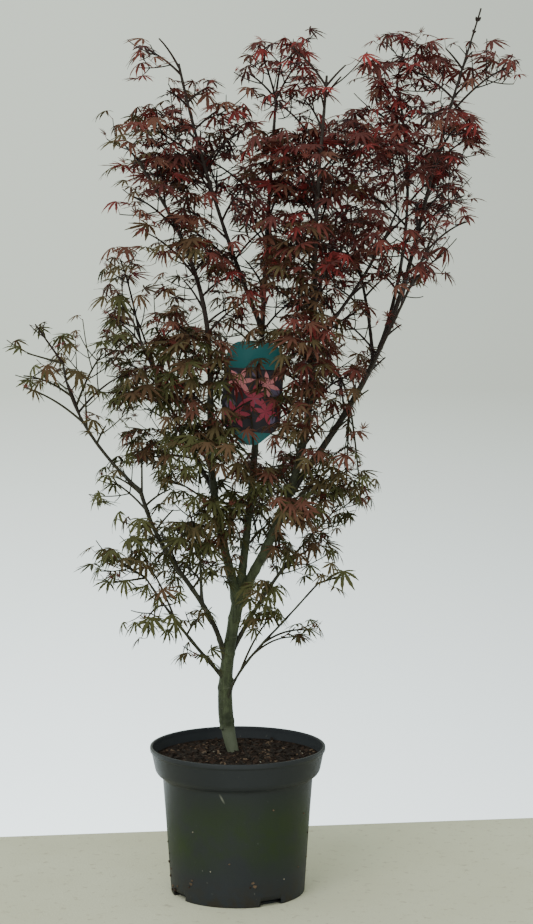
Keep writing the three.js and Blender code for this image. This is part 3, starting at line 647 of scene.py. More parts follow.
# Relief of the bark: each layer's share, and how fine it is across and up the limb; then how deep
# the whole of it is, in millimetres, at heights up the plant.
BARK_LAYERS = ((0.55, 70, 45), (0.30, 330, 70), (0.16, 700, 500))
BARK_HEIGHTS = (0.22, 0.5, 0.9, 1.4)
BARK_DEPTHS = (0.9, 0.75, 0.4, 0.3)
# The heights, in metres, where the pale rootstock ends and the bark turns purple-brown.
ROOTSTOCK, PURPLE_BARK = (0.268, 0.252), (0.5, 0.86)
PALER = 1.5
POINT_LENGTH, POINT_RADIUS = 0.15, 0.25
wood_random = np.random.default_rng(23)


def limb_line(foot, tip, bow, sway=0.0):
    """The middle line of a limb, from 0 at its foot to 1 at its tip."""
    foot, tip = np.array(foot, float), np.array(tip, float)

    def at(t):
        t = np.asarray(t, float)[..., None]
        hump, wave = 4 * t * (1 - t), np.sin(2 * np.pi * t)
        return foot + (tip - foot) * t + np.concatenate(
            [bow[0] * hump + sway * wave, bow[1] * hump, 0 * hump], axis=-1
        )

    return at


def trunk_thickness(t):
    """The trunk's thickness at shares of its length."""
    return np.interp(t, np.linspace(0, 1, len(TRUNK["thick"])), TRUNK["thick"]) * MM


def bough_thickness(butt, end):
    """The same for a bough that tapers from its butt to its end."""
    return lambda t: (butt + (end - butt) * np.asarray(t) ** TAPER) * MM


limbs = {}


def add_limb(name, line, thickness):
    """Stores a limb's line, thickness and length."""
    places = line(np.linspace(0, 1, 200))
    length = np.linalg.norm(np.diff(places, axis=0), axis=1).sum()
    limbs[name] = {"line": line, "thickness": thickness, "length": length}


trunk_course = [np.array(TRUNK[key]) * MM for key in ("foot", "tip", "bow", "sway")]
add_limb("trunk", limb_line(*trunk_course), trunk_thickness)
for name, (parent, at, tip, bow, sway, thick) in BOUGHS.items():
    foot = limbs[parent]["line"](at)
    line = limb_line(foot, np.array(tip) * MM, np.array(bow) * MM, sway * MM)
    add_limb(name, line, bough_thickness(*thick))


def tube(places, radii, sides, flat_tip=False):
    """Corners and four-sided faces of a tube along places, with its end drawn to a point."""
    places, radii = np.asarray(places, float), np.asarray(radii, float)
    if not flat_tip:
        places = np.concatenate([places, places[-1:] + (places[-1:] - places[-2:-1]) * POINT_LENGTH])
        radii = np.concatenate([radii, radii[-1:] * POINT_RADIUS])
    along = np.gradient(places, axis=0)
    along /= np.linalg.norm(along, axis=1, keepdims=True)
    side = np.array([1.0, 0, 0]) if abs(along[0][0]) < 0.9 else np.array([0, 1.0, 0])
    across = []
    for way in along:
        side = side - way * side.dot(way)
        side = side / np.linalg.norm(side)
        across.append(side)
    across = np.array(across)
    other = np.cross(along, across)
    angles = np.linspace(0, 2 * np.pi, sides, endpoint=False)[:, None]
    rings = [
        place + radius * (np.cos(angles) * a + np.sin(angles) * b)
        for place, radius, a, b in zip(places, radii, across, other)
    ]
    return np.concatenate(rings), ring_faces(len(rings), sides)


def capped(places, radii, sides):
    """A tube with flat ends, as a part of a mesh."""
    points, faces = tube(places, radii, sides, flat_tip=True)
    last = len(points) - sides
    ends = np.array([np.arange(sides)[::-1], np.arange(last, last + sides)])
    return points, [*faces, ends], 0


def limb_part(name, sides, ring_step):
    """The tube of one limb, with its node rings and a swollen collar at its butt."""
    limb = limbs[name]
    shares = np.linspace(0, 1, max(8, int(limb["length"] / ring_step)))
    radii = limb["thickness"](shares) / 2
    run = shares * limb["length"]
    node_step = NODE_STEP * wood_random.uniform(*NODE_UNEVEN)
    for ring in np.arange(NODE_STEP, limb["length"] - LAST_NODE, node_step):
        radii = radii * (1 + RING_SWELL * np.exp(-((run - ring) / RING_WIDTH) ** 2))
    if name != "trunk":
        parent = limbs[BOUGHS[name][0]]
        inside = parent["thickness"](BOUGHS[name][1]) / 2
        radii = radii * (1 + COLLAR_SWELL * np.exp(-np.maximum(run - inside, 0) / COLLAR_LENGTH))
    return capped(limb["line"](shares), radii, sides)


main_parts = [limb_part(name, MAIN_SIDES, MAIN_STEP) for name in MAIN_LIMBS]
for limb, at, way, butt, end in STUBS:
    foot = limbs[limb]["line"](at)
    places = [foot + share * np.array(way) * MM for share in STUB_RINGS]
    main_parts.append(capped(places, np.array([butt, butt, end]) * MM, STUB_SIDES))
trunk = put("trunk_and_leaders", mesh_of("trunk_and_leaders", main_parts, []))
welded = trunk.modifiers.new("weld", "REMESH")
welded.mode = "VOXEL"
welded.voxel_size = MAIN_VOXEL
eased = trunk.modifiers.new("ease", "SMOOTH")
eased.factor = 0.5
eased.iterations = 5
made_final(trunk)


def roughen_bark(mesh):
    """Moves each corner along its normal: low swellings, upright fissures and fine warts."""
    places, normals = np.empty((2, len(mesh.vertices) * 3))
    mesh.vertices.foreach_get("co", places)
    mesh.vertex_normals.foreach_get("vector", normals)
    places, normals = places.reshape(-1, 3), normals.reshape(-1, 3)
    rise = np.array([
        sum(share * noise.noise((x * across, y * across, z * up)) for share, across, up in BARK_LAYERS)
        for x, y, z in places
    ])
    depth = np.interp(places[:, 2], BARK_HEIGHTS, BARK_DEPTHS) * MM
    mesh.vertices.foreach_set("co", (places + normals * (rise * depth)[:, None]).ravel())
    mesh.update()


roughen_bark(trunk.data)


def bark_finish(name, base, light, shade):
    """Bark whose colour runs from pale rootstock through green to purple-brown high up."""
    bark = finish(name, base, 0.7, Specular_IOR_Level=0.3)
    tree = bark.node_tree
    place = node(tree, "ShaderNodeTexCoord")
    split = node(tree, "ShaderNodeSeparateXYZ")
    wobble = placed(bark, GRAIN, Scale=18, Stretch=1, Detail=3)
    shifted = node(tree, "ShaderNodeMath", {1: 0.12, 2: -0.06}, operation="MULTIPLY_ADD")
    height = node(tree, "ShaderNodeMath", operation="ADD")
    join(
        tree,
        (place, "Object", split, 0), (wobble, "Height", shifted, 0),
        (split, "Z", height, 0), (shifted, 0, height, 1),
    )
    root, high = ramp(tree, *ROOTSTOCK), ramp(tree, *PURPLE_BARK)
    join(tree, (split, "Z", root, "Value"), (height, 0, high, "Value"))
    streaks = placed(bark, GRAIN, Scale=170, Stretch=8, Detail=4)
    rings = placed(bark, GRAIN, Scale=30, Stretch=0.1)
    dark_streaks = ramp(tree, 0.53, 0.62, high=0.75)
    pale_streaks = ramp(tree, 0.44, 0.36, high=0.7)
    pale_rings = ramp(tree, 0.64, 0.69, high=0.8)
    join(
        tree,
        (streaks, "Height", dark_streaks, "Value"), (streaks, "Height", pale_streaks, "Value"),
        (rings, "Height", pale_rings, "Value"),
    )
    light_patches = placed(bark, PATCHES, Scale=40, Cover=0.5, Soft=0.3)
    dark_patches = placed(bark, PATCHES, Scale=22, Cover=0.30, Soft=0.2, Turn=6)
    pale_warts = placed(bark, PATCHES, Scale=240, Cover=0.14, Soft=0.07, Turn=2)
    dark_specks = placed(bark, PATCHES, Scale=300, Cover=0.14, Soft=0.08, Turn=8)
    layered(
        bark,
        (light_patches, "Mask", light),
        (dark_streaks, 0, shade),
        (pale_streaks, 0, tuple(PALER * part for part in light)),
        (pale_rings, 0, (0.105, 0.112, 0.080)),
        (dark_patches, "Mask", shade),
        (root, 0, (0.098, 0.112, 0.076)),
        (high, 0, (0.020, 0.0125, 0.011)),
        (pale_warts, "Mask", (0.10, 0.098, 0.075)),
        (dark_specks, "Mask", (0.012, 0.010, 0.008)),
    )
    bumped(bark, placed(bark, GRAIN, Scale=420, Stretch=6), "Height", 0.0012)
    return bark


trunk.data.materials.append(
    bark_finish("trunk_bark", (0.037, 0.046, 0.024), (0.056, 0.070, 0.036), (0.020, 0.026, 0.013))
)
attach(trunk, "root")
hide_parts(*MAIN_LIMBS)

# Boughs: thirteen thinner limbs that leave the trunk and leaders at narrow angles, each with a
# swollen collar where it joins and rings where leaves once grew. Their bark is younger and darker.
BOUGH_SIDES, BOUGH_STEP = 12, 3.2 * MM
side_boughs = [name for name in BOUGHS if name not in MAIN_LIMBS]
bough_parts = [limb_part(name, BOUGH_SIDES, BOUGH_STEP) for name in side_boughs]
bough_bark = bark_finish("bough_bark", (0.026, 0.024, 0.016), (0.040, 0.042, 0.026), (0.014, 0.011, 0.009))
boughs = put("boughs", mesh_of("boughs", bough_parts, [bough_bark]))
roughen_bark(boughs.data)
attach(boughs, "root")
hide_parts(*side_boughs)

# Twigs: each mass of leaves grows from one stem that bears opposite pairs of side twigs, each
# pair turned from the last, and these bear smaller twigs. The bark is smooth and dark purple,
# greener where it is shaded low down.
# Each mass: the limb that bears it, where its stem leaves that limb or None for the best place,
# the middle of its space and its half size in millimetres, and how many of its leaves are there.
MASSES = {
    "upper_left_tip": ("upper_left_leader", None, (-118, -95, 1312), (50, 46, 38), 0.6),
    "upper_left_right": ("upper_left_leader", None, (-25, -45, 1234), (50, 60, 55), 0.7),
    "upper_left_in": ("upper_left_leader", None, (-103, -60, 1188), (54, 56, 55), 0.5),
    "left_tip": ("left_leader", 1, (-157, -130, 1170), (46, 54, 85), 1.0),
    "inner_left": ("upper_left_leader", None, (-62, -30, 1042), (50, 62, 80), 0.8),
    "middle_left": ("middle_leader", None, (20, 62, 1085), (60, 65, 62), 1.0),
    "left_outer": ("left_leader", None, (-112, -120, 1030), (52, 56, 48), 0.75),
    "back_left": ("left_fork", 1, (-184, 98, 930), (52, 62, 74), 0.8),
    "far_left": ("far_left_high", 1, (-290, -95, 858), (52, 54, 70), 0.5),
    "left_upright": ("far_left_high", None, (-222, 2, 838), (58, 60, 62), 0.5),
    "left_middle": ("left_fork", None, (-152, 0, 796), (46, 85, 48), 0.8),
    "centre_left_high": ("left_leader", None, (-62, -85, 858), (58, 62, 50), 1.0),
    "centre_left_low": ("left_fork", None, (-100, 52, 735), (74, 66, 56), 0.6),
    "centre_low": ("left_leader", None, (-53, -85, 706), (58, 60, 46), 1.0),
    "left_foot": ("low_left_upright", 1, (-70, -60, 605), (54, 60, 46), 0.8),
    "low_left_high": ("low_left", 1, (-176, -100, 544), (74, 70, 40), 0.3),
    "low_left_foot": ("low_left", None, (-130, -126, 466), (46, 52, 42), 0.5),
    "middle_top": ("middle_leader", 1, (66, 88, 1304), (72, 62, 58), 0.75),
    "right_stem_top": ("right_stem", None, (146, -140, 1266), (72, 58, 50), 1.0),
    "back_right_top": ("back_leader", 1, (262, 155, 1318), (52, 60, 52), 1.0),
    "right_top": ("right_leader", None, (325, 10, 1240), (52, 62, 72), 0.85),
    "right_top_end": ("right_leader", None, (400, -42, 1288), (46, 52, 40), 0.3),
    "right_outer": ("right_front", 1, (340, -118, 1115), (48, 56, 60), 0.55),
    "right_middle_outer": ("right_leader", None, (318, 75, 1128), (48, 58, 44), 0.9),
    "right_upper": ("back_leader", None, (236, 80, 1222), (60, 62, 46), 0.9),
    "right_middle": ("right_fork", 1, (240, -45, 1160), (58, 62, 46), 0.7),
    "right_low_outer": ("right_front", None, (285, -100, 1012), (52, 60, 46), 0.6),
    "centre_high": ("right_stem", None, (88, -70, 1148), (60, 82, 64), 1.0),
    "centre_right": ("right_back", 1, (182, 192, 1160), (56, 62, 72), 1.0),
    "centre_middle": ("right_stem", None, (100, -100, 1005), (58, 62, 52), 1.0),
    "right_inner": ("right_back", None, (185, 118, 1022), (50, 62, 52), 1.0),
    "centre_deep": ("right_stem", None, (92, -90, 870), (64, 66, 58), 1.0),
    "right_deep": ("right_leader", None, (160, 112, 820), (58, 62, 46), 0.9),
    "right_low": ("right_leader", None, (172, -30, 690), (58, 62, 52), 0.65),
    "right_foot": ("right_low_bough", 1, (150, 70, 598), (66, 62, 42), 0.4),
    "low_centre": ("middle_leader", None, (55, 112, 640), (50, 62, 52), 0.8),
    "low_back_right": ("right_low_bough", None, (96, 112, 515), (60, 58, 42), 0.8),
    "low_right_end": ("low_front", 1, (156, -108, 524), (42, 50, 40), 0.6),
    "low_right": ("low_front", None, (46, -88, 468), (42, 50, 36), 1.0),
}
# Smaller sprays between and beyond the masses, kept the same way.
SPRAYS = {
    "right_leader_left": ("right_leader", None, (306, -38, 1338), (30, 34, 26), 1.0),
    "right_leader_low": ("right_leader", None, (362, 20, 1322), (32, 36, 26), 0.4),
    "right_stem_left": ("right_stem", None, (92, -138, 1314), (30, 32, 22), 1.0),
    "right_stem_right": ("right_stem", None, (196, -150, 1316), (34, 32, 20), 0.6),
    "middle_tip_left": ("middle_leader", None, (40, 70, 1320), (26, 32, 28), 0.8),
    "far_left_low_spray": ("far_left_high", None, (-336, -90, 812), (24, 40, 24), 0.7),
    "far_left_twig": ("far_left_high", None, (-200, -90, 752), (32, 40, 30), 0.9),
    "left_edge_low": ("far_left_low", None, (-184, -60, 668), (28, 38, 20), 0.3),
    "left_inner_twig": ("far_left_low", None, (-120, -30, 640), (36, 40, 28), 0.6),
    "right_waist": ("right_leader", None, (262, 0, 905), (38, 46, 34), 1.0),
    "right_waist_low": ("right_leader", None, (205, -10, 800), (36, 46, 34), 1.0),
    "inner_top": ("right_stem", None, (110, -60, 1240), (40, 50, 36), 1.0),
    "right_leader_back": ("right_leader", None, (296, 10, 1285), (44, 44, 32), 1.0),
    "right_shoulder": ("right_leader", None, (328, -60, 1196), (40, 44, 30), 0.8),
    "left_shoulder": ("left_leader", None, (-116, -24, 1134), (42, 44, 30), 1.0),
    "inner_left_shoulder": ("upper_left_leader", None, (-70, 20, 1146), (42, 44, 30), 1.0),
    "upper_inner": ("upper_left_leader", None, (-10, 20, 1192), (34, 42, 28), 0.8),
    "heart_left": ("middle_leader", None, (52, 40, 1104), (42, 44, 34), 1.0),
    "heart_middle": ("right_stem", None, (98, -46, 1092), (42, 44, 34), 1.0),
    "heart_right": ("right_stem", None, (150, 36, 1112), (42, 44, 34), 1.0),
    "heart_low": ("right_stem", None, (84, 50, 1006), (42, 44, 34), 1.0),
    "beside_tag": ("right_stem", None, (96, -62, 824), (38, 40, 32), 1.0),
    "right_inner_low": ("right_leader", None, (174, 10, 748), (38, 42, 30), 0.6),
    "left_edge_fork": ("far_left_low", None, (-150, -10, 708), (36, 40, 30), 1.0),
    "low_inner_right": ("right_stem", None, (98, -30, 612), (42, 44, 34), 1.0),
    "over_fork": ("middle_leader", None, (30, 60, 566), (42, 44, 32), 1.0),
    "over_fork_right": ("right_stem", None, (66, 10, 566), (38, 44, 32), 1.0),
    "right_of_tag": ("right_stem", None, (100, -34, 782), (34, 42, 36), 1.0),
    "left_of_tag_foot": ("left_leader", None, (-24, -40, 746), (34, 42, 34), 1.0),
    "right_tip_front": ("back_leader", None, (222, 60, 1290), (38, 42, 28), 1.0),
    "right_tip_side": ("right_leader", None, (356, 10, 1276), (34, 40, 26), 0.8),
    "left_tip_back": ("left_leader", 0.93, (-120, -80, 1138), (40, 42, 26), 1.0),
    "left_tip_right": ("upper_left_leader", 0.55, (-84, 0, 1128), (40, 42, 26), 1.0),
    "left_fork_tip": ("left_fork", 0.9, (-182, 60, 990), (30, 36, 28), 1.0),
    "left_fork_side": ("left_fork", 0.7, (-164, 40, 918), (34, 36, 30), 1.0),
    "far_left_under": ("far_left_high", 0.6, (-262, -50, 814), (34, 36, 22), 0.7),
    "heart_foot": ("right_stem", None, (112, 20, 930), (36, 40, 28), 1.0),
    "low_left_inner": ("low_left", 0.6, (-138, -60, 530), (40, 40, 22), 1.0),
    "low_front_side": ("low_front", 0.52, (104, -74, 432), (30, 34, 16), 1.0),
    "back_left_in": ("left_fork", None, (-90, 105, 900), (58, 62, 44), 0.65),
    "tag_side_right": ("right_stem", None, (106, -84, 772), (36, 40, 38), 1.0),
    "tag_side_left": ("left_leader", None, (-38, -66, 808), (30, 38, 38), 1.0),
    "middle_top_left": ("middle_leader", None, (34, 60, 1284), (38, 42, 32), 0.8),
    "left_tip_low": ("left_leader", None, (-140, -112, 1092), (42, 44, 34), 1.0),
    "inner_left_low": ("upper_left_leader", None, (-30, -10, 990), (32, 36, 26), 1.0),
    "upper_left_inner": ("upper_left_leader", None, (-56, -20, 1196), (38, 42, 26), 1.0),
    "right_shoulder_high": ("right_leader", None, (338, -30, 1206), (34, 40, 24), 0.5),
    "heart_high": ("right_stem", None, (150, -40, 1152), (36, 42, 28), 1.0),
    "left_middle_outer": ("far_left_high", None, (-190, -40, 818), (44, 44, 32), 0.3),
    "left_low_inner": ("left_fork", None, (-140, 20, 690), (36, 40, 24), 0.8),
    "left_foot_low": ("low_left_upright", 0.9, (-68, -10, 566), (46, 44, 26), 0.8),
    "right_low_tip": ("right_low_bough", 0.9, (98, 30, 520), (34, 36, 22), 0.7),
    "middle_tip_right": ("middle_leader", None, (88, 60, 1302), (32, 38, 32), 1.0),
    "right_shoulder_low": ("right_leader", None, (344, 10, 1182), (38, 42, 28), 1.0),
    "left_leaders_join": ("left_leader", None, (-24, -80, 974), (30, 34, 30), 1.0),
    "over_tag": ("middle_leader", None, (8, 20, 898), (28, 34, 32), 1.0),
    "under_tag_left": ("left_leader", None, (-8, -70, 730), (30, 34, 24), 1.0),
    "under_tag_right": ("right_stem", None, (84, -60, 738), (30, 36, 26), 1.0),
    "over_fork_front": ("right_stem", None, (82, -80, 620), (34, 38, 28), 1.0),
    "low_upright_top": ("low_left_upright", 1, (-52, -44, 562), (40, 44, 24), 1.0),
    "low_left_first": ("low_left", 0.2, (-62, -62, 388), (30, 34, 22), 1.0),
    "low_front_inner": ("low_front", 0.3, (48, -60, 442), (38, 40, 22), 1.0),
    "left_upright_side": ("left_fork", None, (-144, 20, 852), (32, 36, 24), 1.0),
    "far_left_end_low": ("far_left_high", 0.75, (-312, -90, 826), (32, 40, 24), 0.3),
    "far_left_inner": ("far_left_high", 0.5, (-232, -80, 788), (28, 36, 22), 0.9),
    "front_of_tag": ("middle_leader", 0.27, (22, -20, 762), (24, 14, 44), 1.0),
    "upper_left_tip_right": ("upper_left_leader", None, (-54, -60, 1262), (32, 36, 20), 0.9),
    "upper_left_heart": ("upper_left_leader", None, (-36, 0, 1168), (30, 34, 22), 1.0),
    "right_edge_spray": ("right_leader", None, (342, -20, 1098), (34, 38, 24), 0.45),
    "tag_foot_right": ("right_stem", None, (64, -40, 732), (24, 30, 20), 1.0),
    "tag_edge_right": ("right_stem", None, (82, -40, 826), (26, 32, 28), 1.0),
    "tag_edge_left": ("left_leader", None, (-28, -60, 836), (28, 34, 28), 1.0),
    "low_left_end": ("low_left", 1, (-196, -100, 512), (34, 40, 18), 0.6),
    "low_left_second": ("low_left", 0.45, (-66, -40, 440), (30, 34, 20), 0.7),
    "upper_left_low": ("upper_left_leader", None, (-96, -60, 1258), (34, 40, 20), 1.0),
    "upper_heart": ("middle_leader", None, (-50, 30, 1160), (30, 36, 24), 0.6),
    "middle_right_low": ("right_stem", None, (66, -40, 1240), (32, 38, 26), 0.6),
    "left_join_low": ("left_leader", None, (-14, -80, 930), (26, 34, 34), 0.9),
    "right_waist_high": ("right_leader", None, (262, 0, 974), (36, 42, 22), 1.0),
    "over_fork_left": ("left_leader", None, (-14, -10, 584), (28, 34, 26), 1.0),
    "heart_left_low": ("middle_leader", None, (24, -10, 1070), (30, 34, 26), 1.0),
    "heart_front": ("right_stem", None, (128, -70, 1096), (36, 40, 28), 1.0),
    "far_left_tip": ("far_left_high", 1, (-300, -90, 900), (24, 30, 20), 0.5),
    "upper_left_tip_high": ("upper_left_leader", None, (-116, -95, 1338), (26, 30, 16), 0.6),
    "right_stem_front": ("right_stem", None, (130, -130, 1244), (28, 34, 20), 1.0),
    "right_low_end": ("right_leader", None, (192, -20, 650), (30, 34, 22), 0.8),
    "low_front_low": ("low_front", 0.42, (78, -60, 418), (26, 30, 14), 1.0),
    "heart_low_left": ("middle_leader", None, (60, 0, 990), (34, 40, 30), 1.0),
    "heart_low_right": ("right_stem", None, (158, -20, 985), (34, 40, 30), 1.0),
    "low_inner_left": ("low_left_upright", 0.4, (-84, 40, 512), (40, 46, 34), 0.8),
}
# Limbs bear short side shoots too, at even distances and each turned on from the last, which fill
# the heart of the crown. Kept by limb: the shares of its length between which they stand.
SHOOTS = {
    "left_leader": (0.12, 0.80),
    "middle_leader": (0.10, 0.78),
    "right_stem": (0.14, 0.86),
    "right_leader": (0.12, 0.62),
    "upper_left_leader": (0.20, 0.78),
    "left_fork": (0.30, 0.90),
    "far_left_low": (0.45, 1.0),
    "right_fork": (0.20, 0.90),
    "right_back": (0.25, 0.90),
    "back_leader": (0.30, 0.92),
    "right_front": (0.45, 0.90),
}
SHOOT_SPACING = 34 * MM
SHOOT_OUT = 50 * MM
SHOOT_RISE = 0.45
SHOOT_HALF = (40, 42, 34)
SHOOT_KEEP = 0.56
SHOOT_TURN = math.radians(137.5)
SPACES = {**MASSES, **SPRAYS}
for limb, (low, high) in SHOOTS.items():
    count = round(limbs[limb]["length"] * (high - low) / SHOOT_SPACING)
    for index in range(count):
        share = low + (high - low) * (index + 0.5) / count
        turn = SHOOT_TURN * index + len(limb)
        out = np.array([math.cos(turn), math.sin(turn), SHOOT_RISE])
        middle = (limbs[limb]["line"](share) + out * SHOOT_OUT) / MM
        start = share - 0.5 * (high - low) / count
        SPACES[f"{limb}_shoot_{index}"] = (limb, start, middle, SHOOT_HALF, SHOOT_KEEP)
# Where the photo shows sky, as seen from the camera on the upright plane through the pot's axis:
# the middle of each opening, right and up, and its half width and half height.
OPENINGS = {
    "left_of_middle_tip": (-14, 1270, 22, 38),
    "over_middle_tip": (64, 1356, 52, 14),
    "over_upper_left_tip": (-130, 1366, 60, 18),
    "over_right_stem_tip": (204, 1326, 38, 14),
    "over_right_top": (308, 1350, 38, 12),
    "between_right_tips": (190, 1266, 24, 30),
    "between_middle_tips": (82, 1222, 12, 20),
    "upper_left_edge": (-214, 1170, 20, 26),
    "left_notch": (-176, 1056, 25, 34),
    "between_left_leaders": (-20, 1062, 15, 42),
    "behind_left_leader": (-102, 988, 18, 22),
    "left_fork_gap": (-60, 926, 26, 24),
    "left_top_edge": (-220, 976, 18, 26),
    "left_top_gap": (-172, 956, 30, 14),
    "upper_left_high_edge": (-184, 1250, 34, 24),
    "between_top_sprays": (142, 1318, 16, 18),
    "far_left_over": (-240, 912, 14, 20),
    "far_left_end": (-353, 850, 17, 54),
    "over_low_leaders": (12, 648, 14, 12),
    "left_bough_side": (-170, 616, 24, 18),
    "right_foot_side": (196, 512, 26, 40),
    "middle_gap": (62, 924, 20, 32),
    "right_stem_gap": (222, 930, 18, 18),
    "right_stem_low_gap": (186, 905, 16, 20),
    "right_upper_gap": (244, 1060, 18, 36),
    "right_edge": (371, 1132, 25, 34),
    "right_edge_low": (345, 1035, 24, 34),
    "right_of_waist": (282, 915, 38, 56),
    "right_of_lower_crown": (215, 790, 30, 50),
    "far_left_edge": (-338, 876, 26, 14),
    "left_twig_gap": (-232, 904, 14, 26),
    "left_low_gap": (-182, 752, 30, 16),
    "left_low_edge": (-214, 700, 22, 24),
    "low_left_gap": (-120, 632, 36, 24),
    "low_middle_gap": (-110, 610, 20, 12),
    "low_left_edge": (-214, 568, 40, 20),
    "low_left_end": (-258, 526, 22, 18),
    "right_low_edge": (214, 700, 24, 34),
    "right_deep_gap": (178, 868, 20, 14),
    "low_left_foot_gap": (-158, 458, 20, 22),
    "under_tag_gap": (44, 706, 24, 20),
    "fork_gap": (-2, 486, 14, 14),
    "right_foot_edge": (160, 455, 22, 26),
    "low_front_gap": (84, 470, 24, 18),
    "right_stem_foot_gap": (88, 573, 14, 16),
    "trunk_front": (0, 452, 16, 30),
    "right_end_edge": (456, 1300, 14, 60),
    "right_end_low": (432, 1258, 30, 22),
    "over_middle_left": (0, 1335, 24, 18),
    "between_top_clusters": (172, 1300, 22, 18),
    "over_right_top_left": (224, 1364, 28, 12),
    "upper_left_tip_side": (-130, 1275, 20, 12),
    "left_tip_edge": (-192, 1108, 16, 30),
    "middle_left_gap": (18, 1022, 16, 16),
    "right_edge_middle": (384, 1062, 16, 20),
    "under_right_outer": (262, 850, 34, 24),
    "left_side_edge": (-222, 652, 18, 18),
    "left_side_gap": (-142, 752, 18, 16),
    "left_upright_gap": (-200, 828, 18, 16),
    "over_left_upright": (-138, 930, 26, 16),
    "far_left_high_edge": (-302, 950, 40, 18),
    "right_low_inner_gap": (152, 728, 26, 24),
    "right_low_side": (238, 650, 16, 20),
    "upper_left_tip_edge": (-184, 1316, 30, 34),
    "over_right_end": (420, 1334, 40, 10),
    "low_left_under": (-227, 492, 24, 14),
    "low_left_foot_under": (-128, 412, 18, 12),
    "left_bough_gap": (-104, 1052, 20, 14),
    "over_low_left": (-70, 640, 24, 14),
    "right_low_corner": (222, 612, 12, 12),
    "right_low_outer_edge": (332, 990, 22, 20),
    "right_foot_corner": (130, 528, 20, 20),
    "upper_heart_gap": (-12, 1140, 14, 20),
    "left_tip_high_edge": (-226, 1206, 18, 26),
    "right_middle_gap": (260, 1006, 24, 18),
    "far_left_upright_gap": (-244, 850, 26, 18),
    "right_deep_side": (168, 850, 18, 18),
    "right_foot_high": (200, 596, 16, 16),
}
SKY_SHARE = 0.85
TWIG_SKY_SHARE = 0.6
# How a stem starts: the shares of its limb where it may, how steeply it climbs to the middle of
# its space, how much a short way counts, and how far it goes on beyond and arches.
STEM_STARTS = 0.18 + 0.8 * np.arange(41) / 40
STEM_SLOPE = 0.75
STEM_SHORT = 0.6
STEM_BEYOND = 0.62
STEM_ARCH = 0.1
STEM_STEP = 8 * MM
FEWEST_RINGS = 5
# Radius at butt and end, in millimetres, of a stem, a twig and a fine twig.
STEM_RADIUS = (2.0, 1.2)
TWIG_RADIUS = (1.15, 0.8)
FINE_RADIUS = (0.85, 0.6)
TWIG_SIDES = (5, 5, 4)
TWIG_REACH = (0.65, 1.3)
TWIG_ANGLE = math.radians(54)
TIP_ANGLE = math.radians(46)
PAIR_TURN = 90
PAIR_SLACK = 24
STEM_NODE = 22 * MM
TWIG_NODE = 18 * MM
NODE_SPREAD = (0.9, 1.15)
STEM_BARE = 8 * MM
TWIG_BARE = 0.6
SHORTEST_TWIG = 15 * MM
LONGEST_TWIG = 78 * MM
FINE_LENGTH = 0.6
FINE_REACH = 0.55
TWIG_STEP = 7 * MM
TWIG_LIFT = 0.2
TWIG_KINK = 0.07
TWIG_ROOM = 1 * MM
LIMB_GAP = 1.5 * MM
LIMB_STEP = 6 * MM
PAIR_LEAF, TIP_LEAF, END_LEAF = 0.95, 1.0, 0.85
YOUNG_SHARE = 0.5
TWIG_TONES = (("shaded_green_twig", (0.034, 0.028, 0.015)), ("purple_twig", (0.020, 0.009, 0.008)))
# The twigs go from green to purple upwards from this height, over this much, in millimetres.
PURPLE_FROM, PURPLE_OVER = 560, 260
# The tag's own space, and the space in front of the parts of it that show, in millimetres.
TAG_FACE = ((-26, 74), (1, 16), (707, 889))
TAG_VIEWS = (((-14, 66), (-240, 9), (838, 881)), ((-10, 62), (-240, 9), (717, 806)))
UP = np.array([0, 0, 1.0])
LEVEL_SLACK = 1e-6
SEEN_FROM = np.array(camera.location)

limb_shares = [(limb, np.linspace(0, 1, int(limb["length"] / LIMB_STEP))) for limb in limbs.values()]
limb_places = np.concatenate([limb["line"](shares) for limb, shares in limb_shares])
limb_radii = np.concatenate([limb["thickness"](shares) / 2 for limb, shares in limb_shares])


def unit(way):
    """A direction one unit long."""
    return way / np.linalg.norm(way)


def within(points, box):
    """Which points lie in a box given in millimetres."""
    limits = np.array(box) * MM
    return np.all((points > limits[:, 0]) & (points < limits[:, 1]), axis=-1)


def hides_tag(points):
    """Which points lie in front of the parts of the tag that show."""
    return within(points, TAG_VIEWS[0]) | within(points, TAG_VIEWS[1])


def is_clear(points, radius):
    """True if no point comes nearer to a limb than its own radius and a gap, or to the tag."""
    away = np.linalg.norm(limb_places[None] - points[:, None], axis=-1)
    return np.all(away > limb_radii + radius + LIMB_GAP) and not within(points, TAG_FACE).any()


def in_opening(place):
    """True if a place lies in one of the openings as the camera sees it."""
    shown = SEEN_FROM + (place - SEEN_FROM) * SEEN_FROM[1] / (SEEN_FROM[1] - place[1])
    return any(
        math.hypot((shown[0] / MM - right) / wide, (shown[2] / MM - up) / high) < 1
        for right, up, wide, high in OPENINGS.values()
    )


def space_of(name):
    """The middle and half size of a mass's rounded space."""
    return np.array(SPACES[name][2]) * MM, np.array(SPACES[name][3]) * MM


def room(root, way, name, reach):
    """How far it is from a place to the edge of its mass's space, and to where it enters it."""
    middle, half = space_of(name)
    start, go = (root - middle) / half, way / half
    a, b, c = go.dot(go), start.dot(go), start.dot(start) - reach ** 2
    inner = b * b - a * c
    if inner <= 0:
        return 0.0, 0.0
    return (-b + math.sqrt(inner)) / a, (-b - math.sqrt(inner)) / a


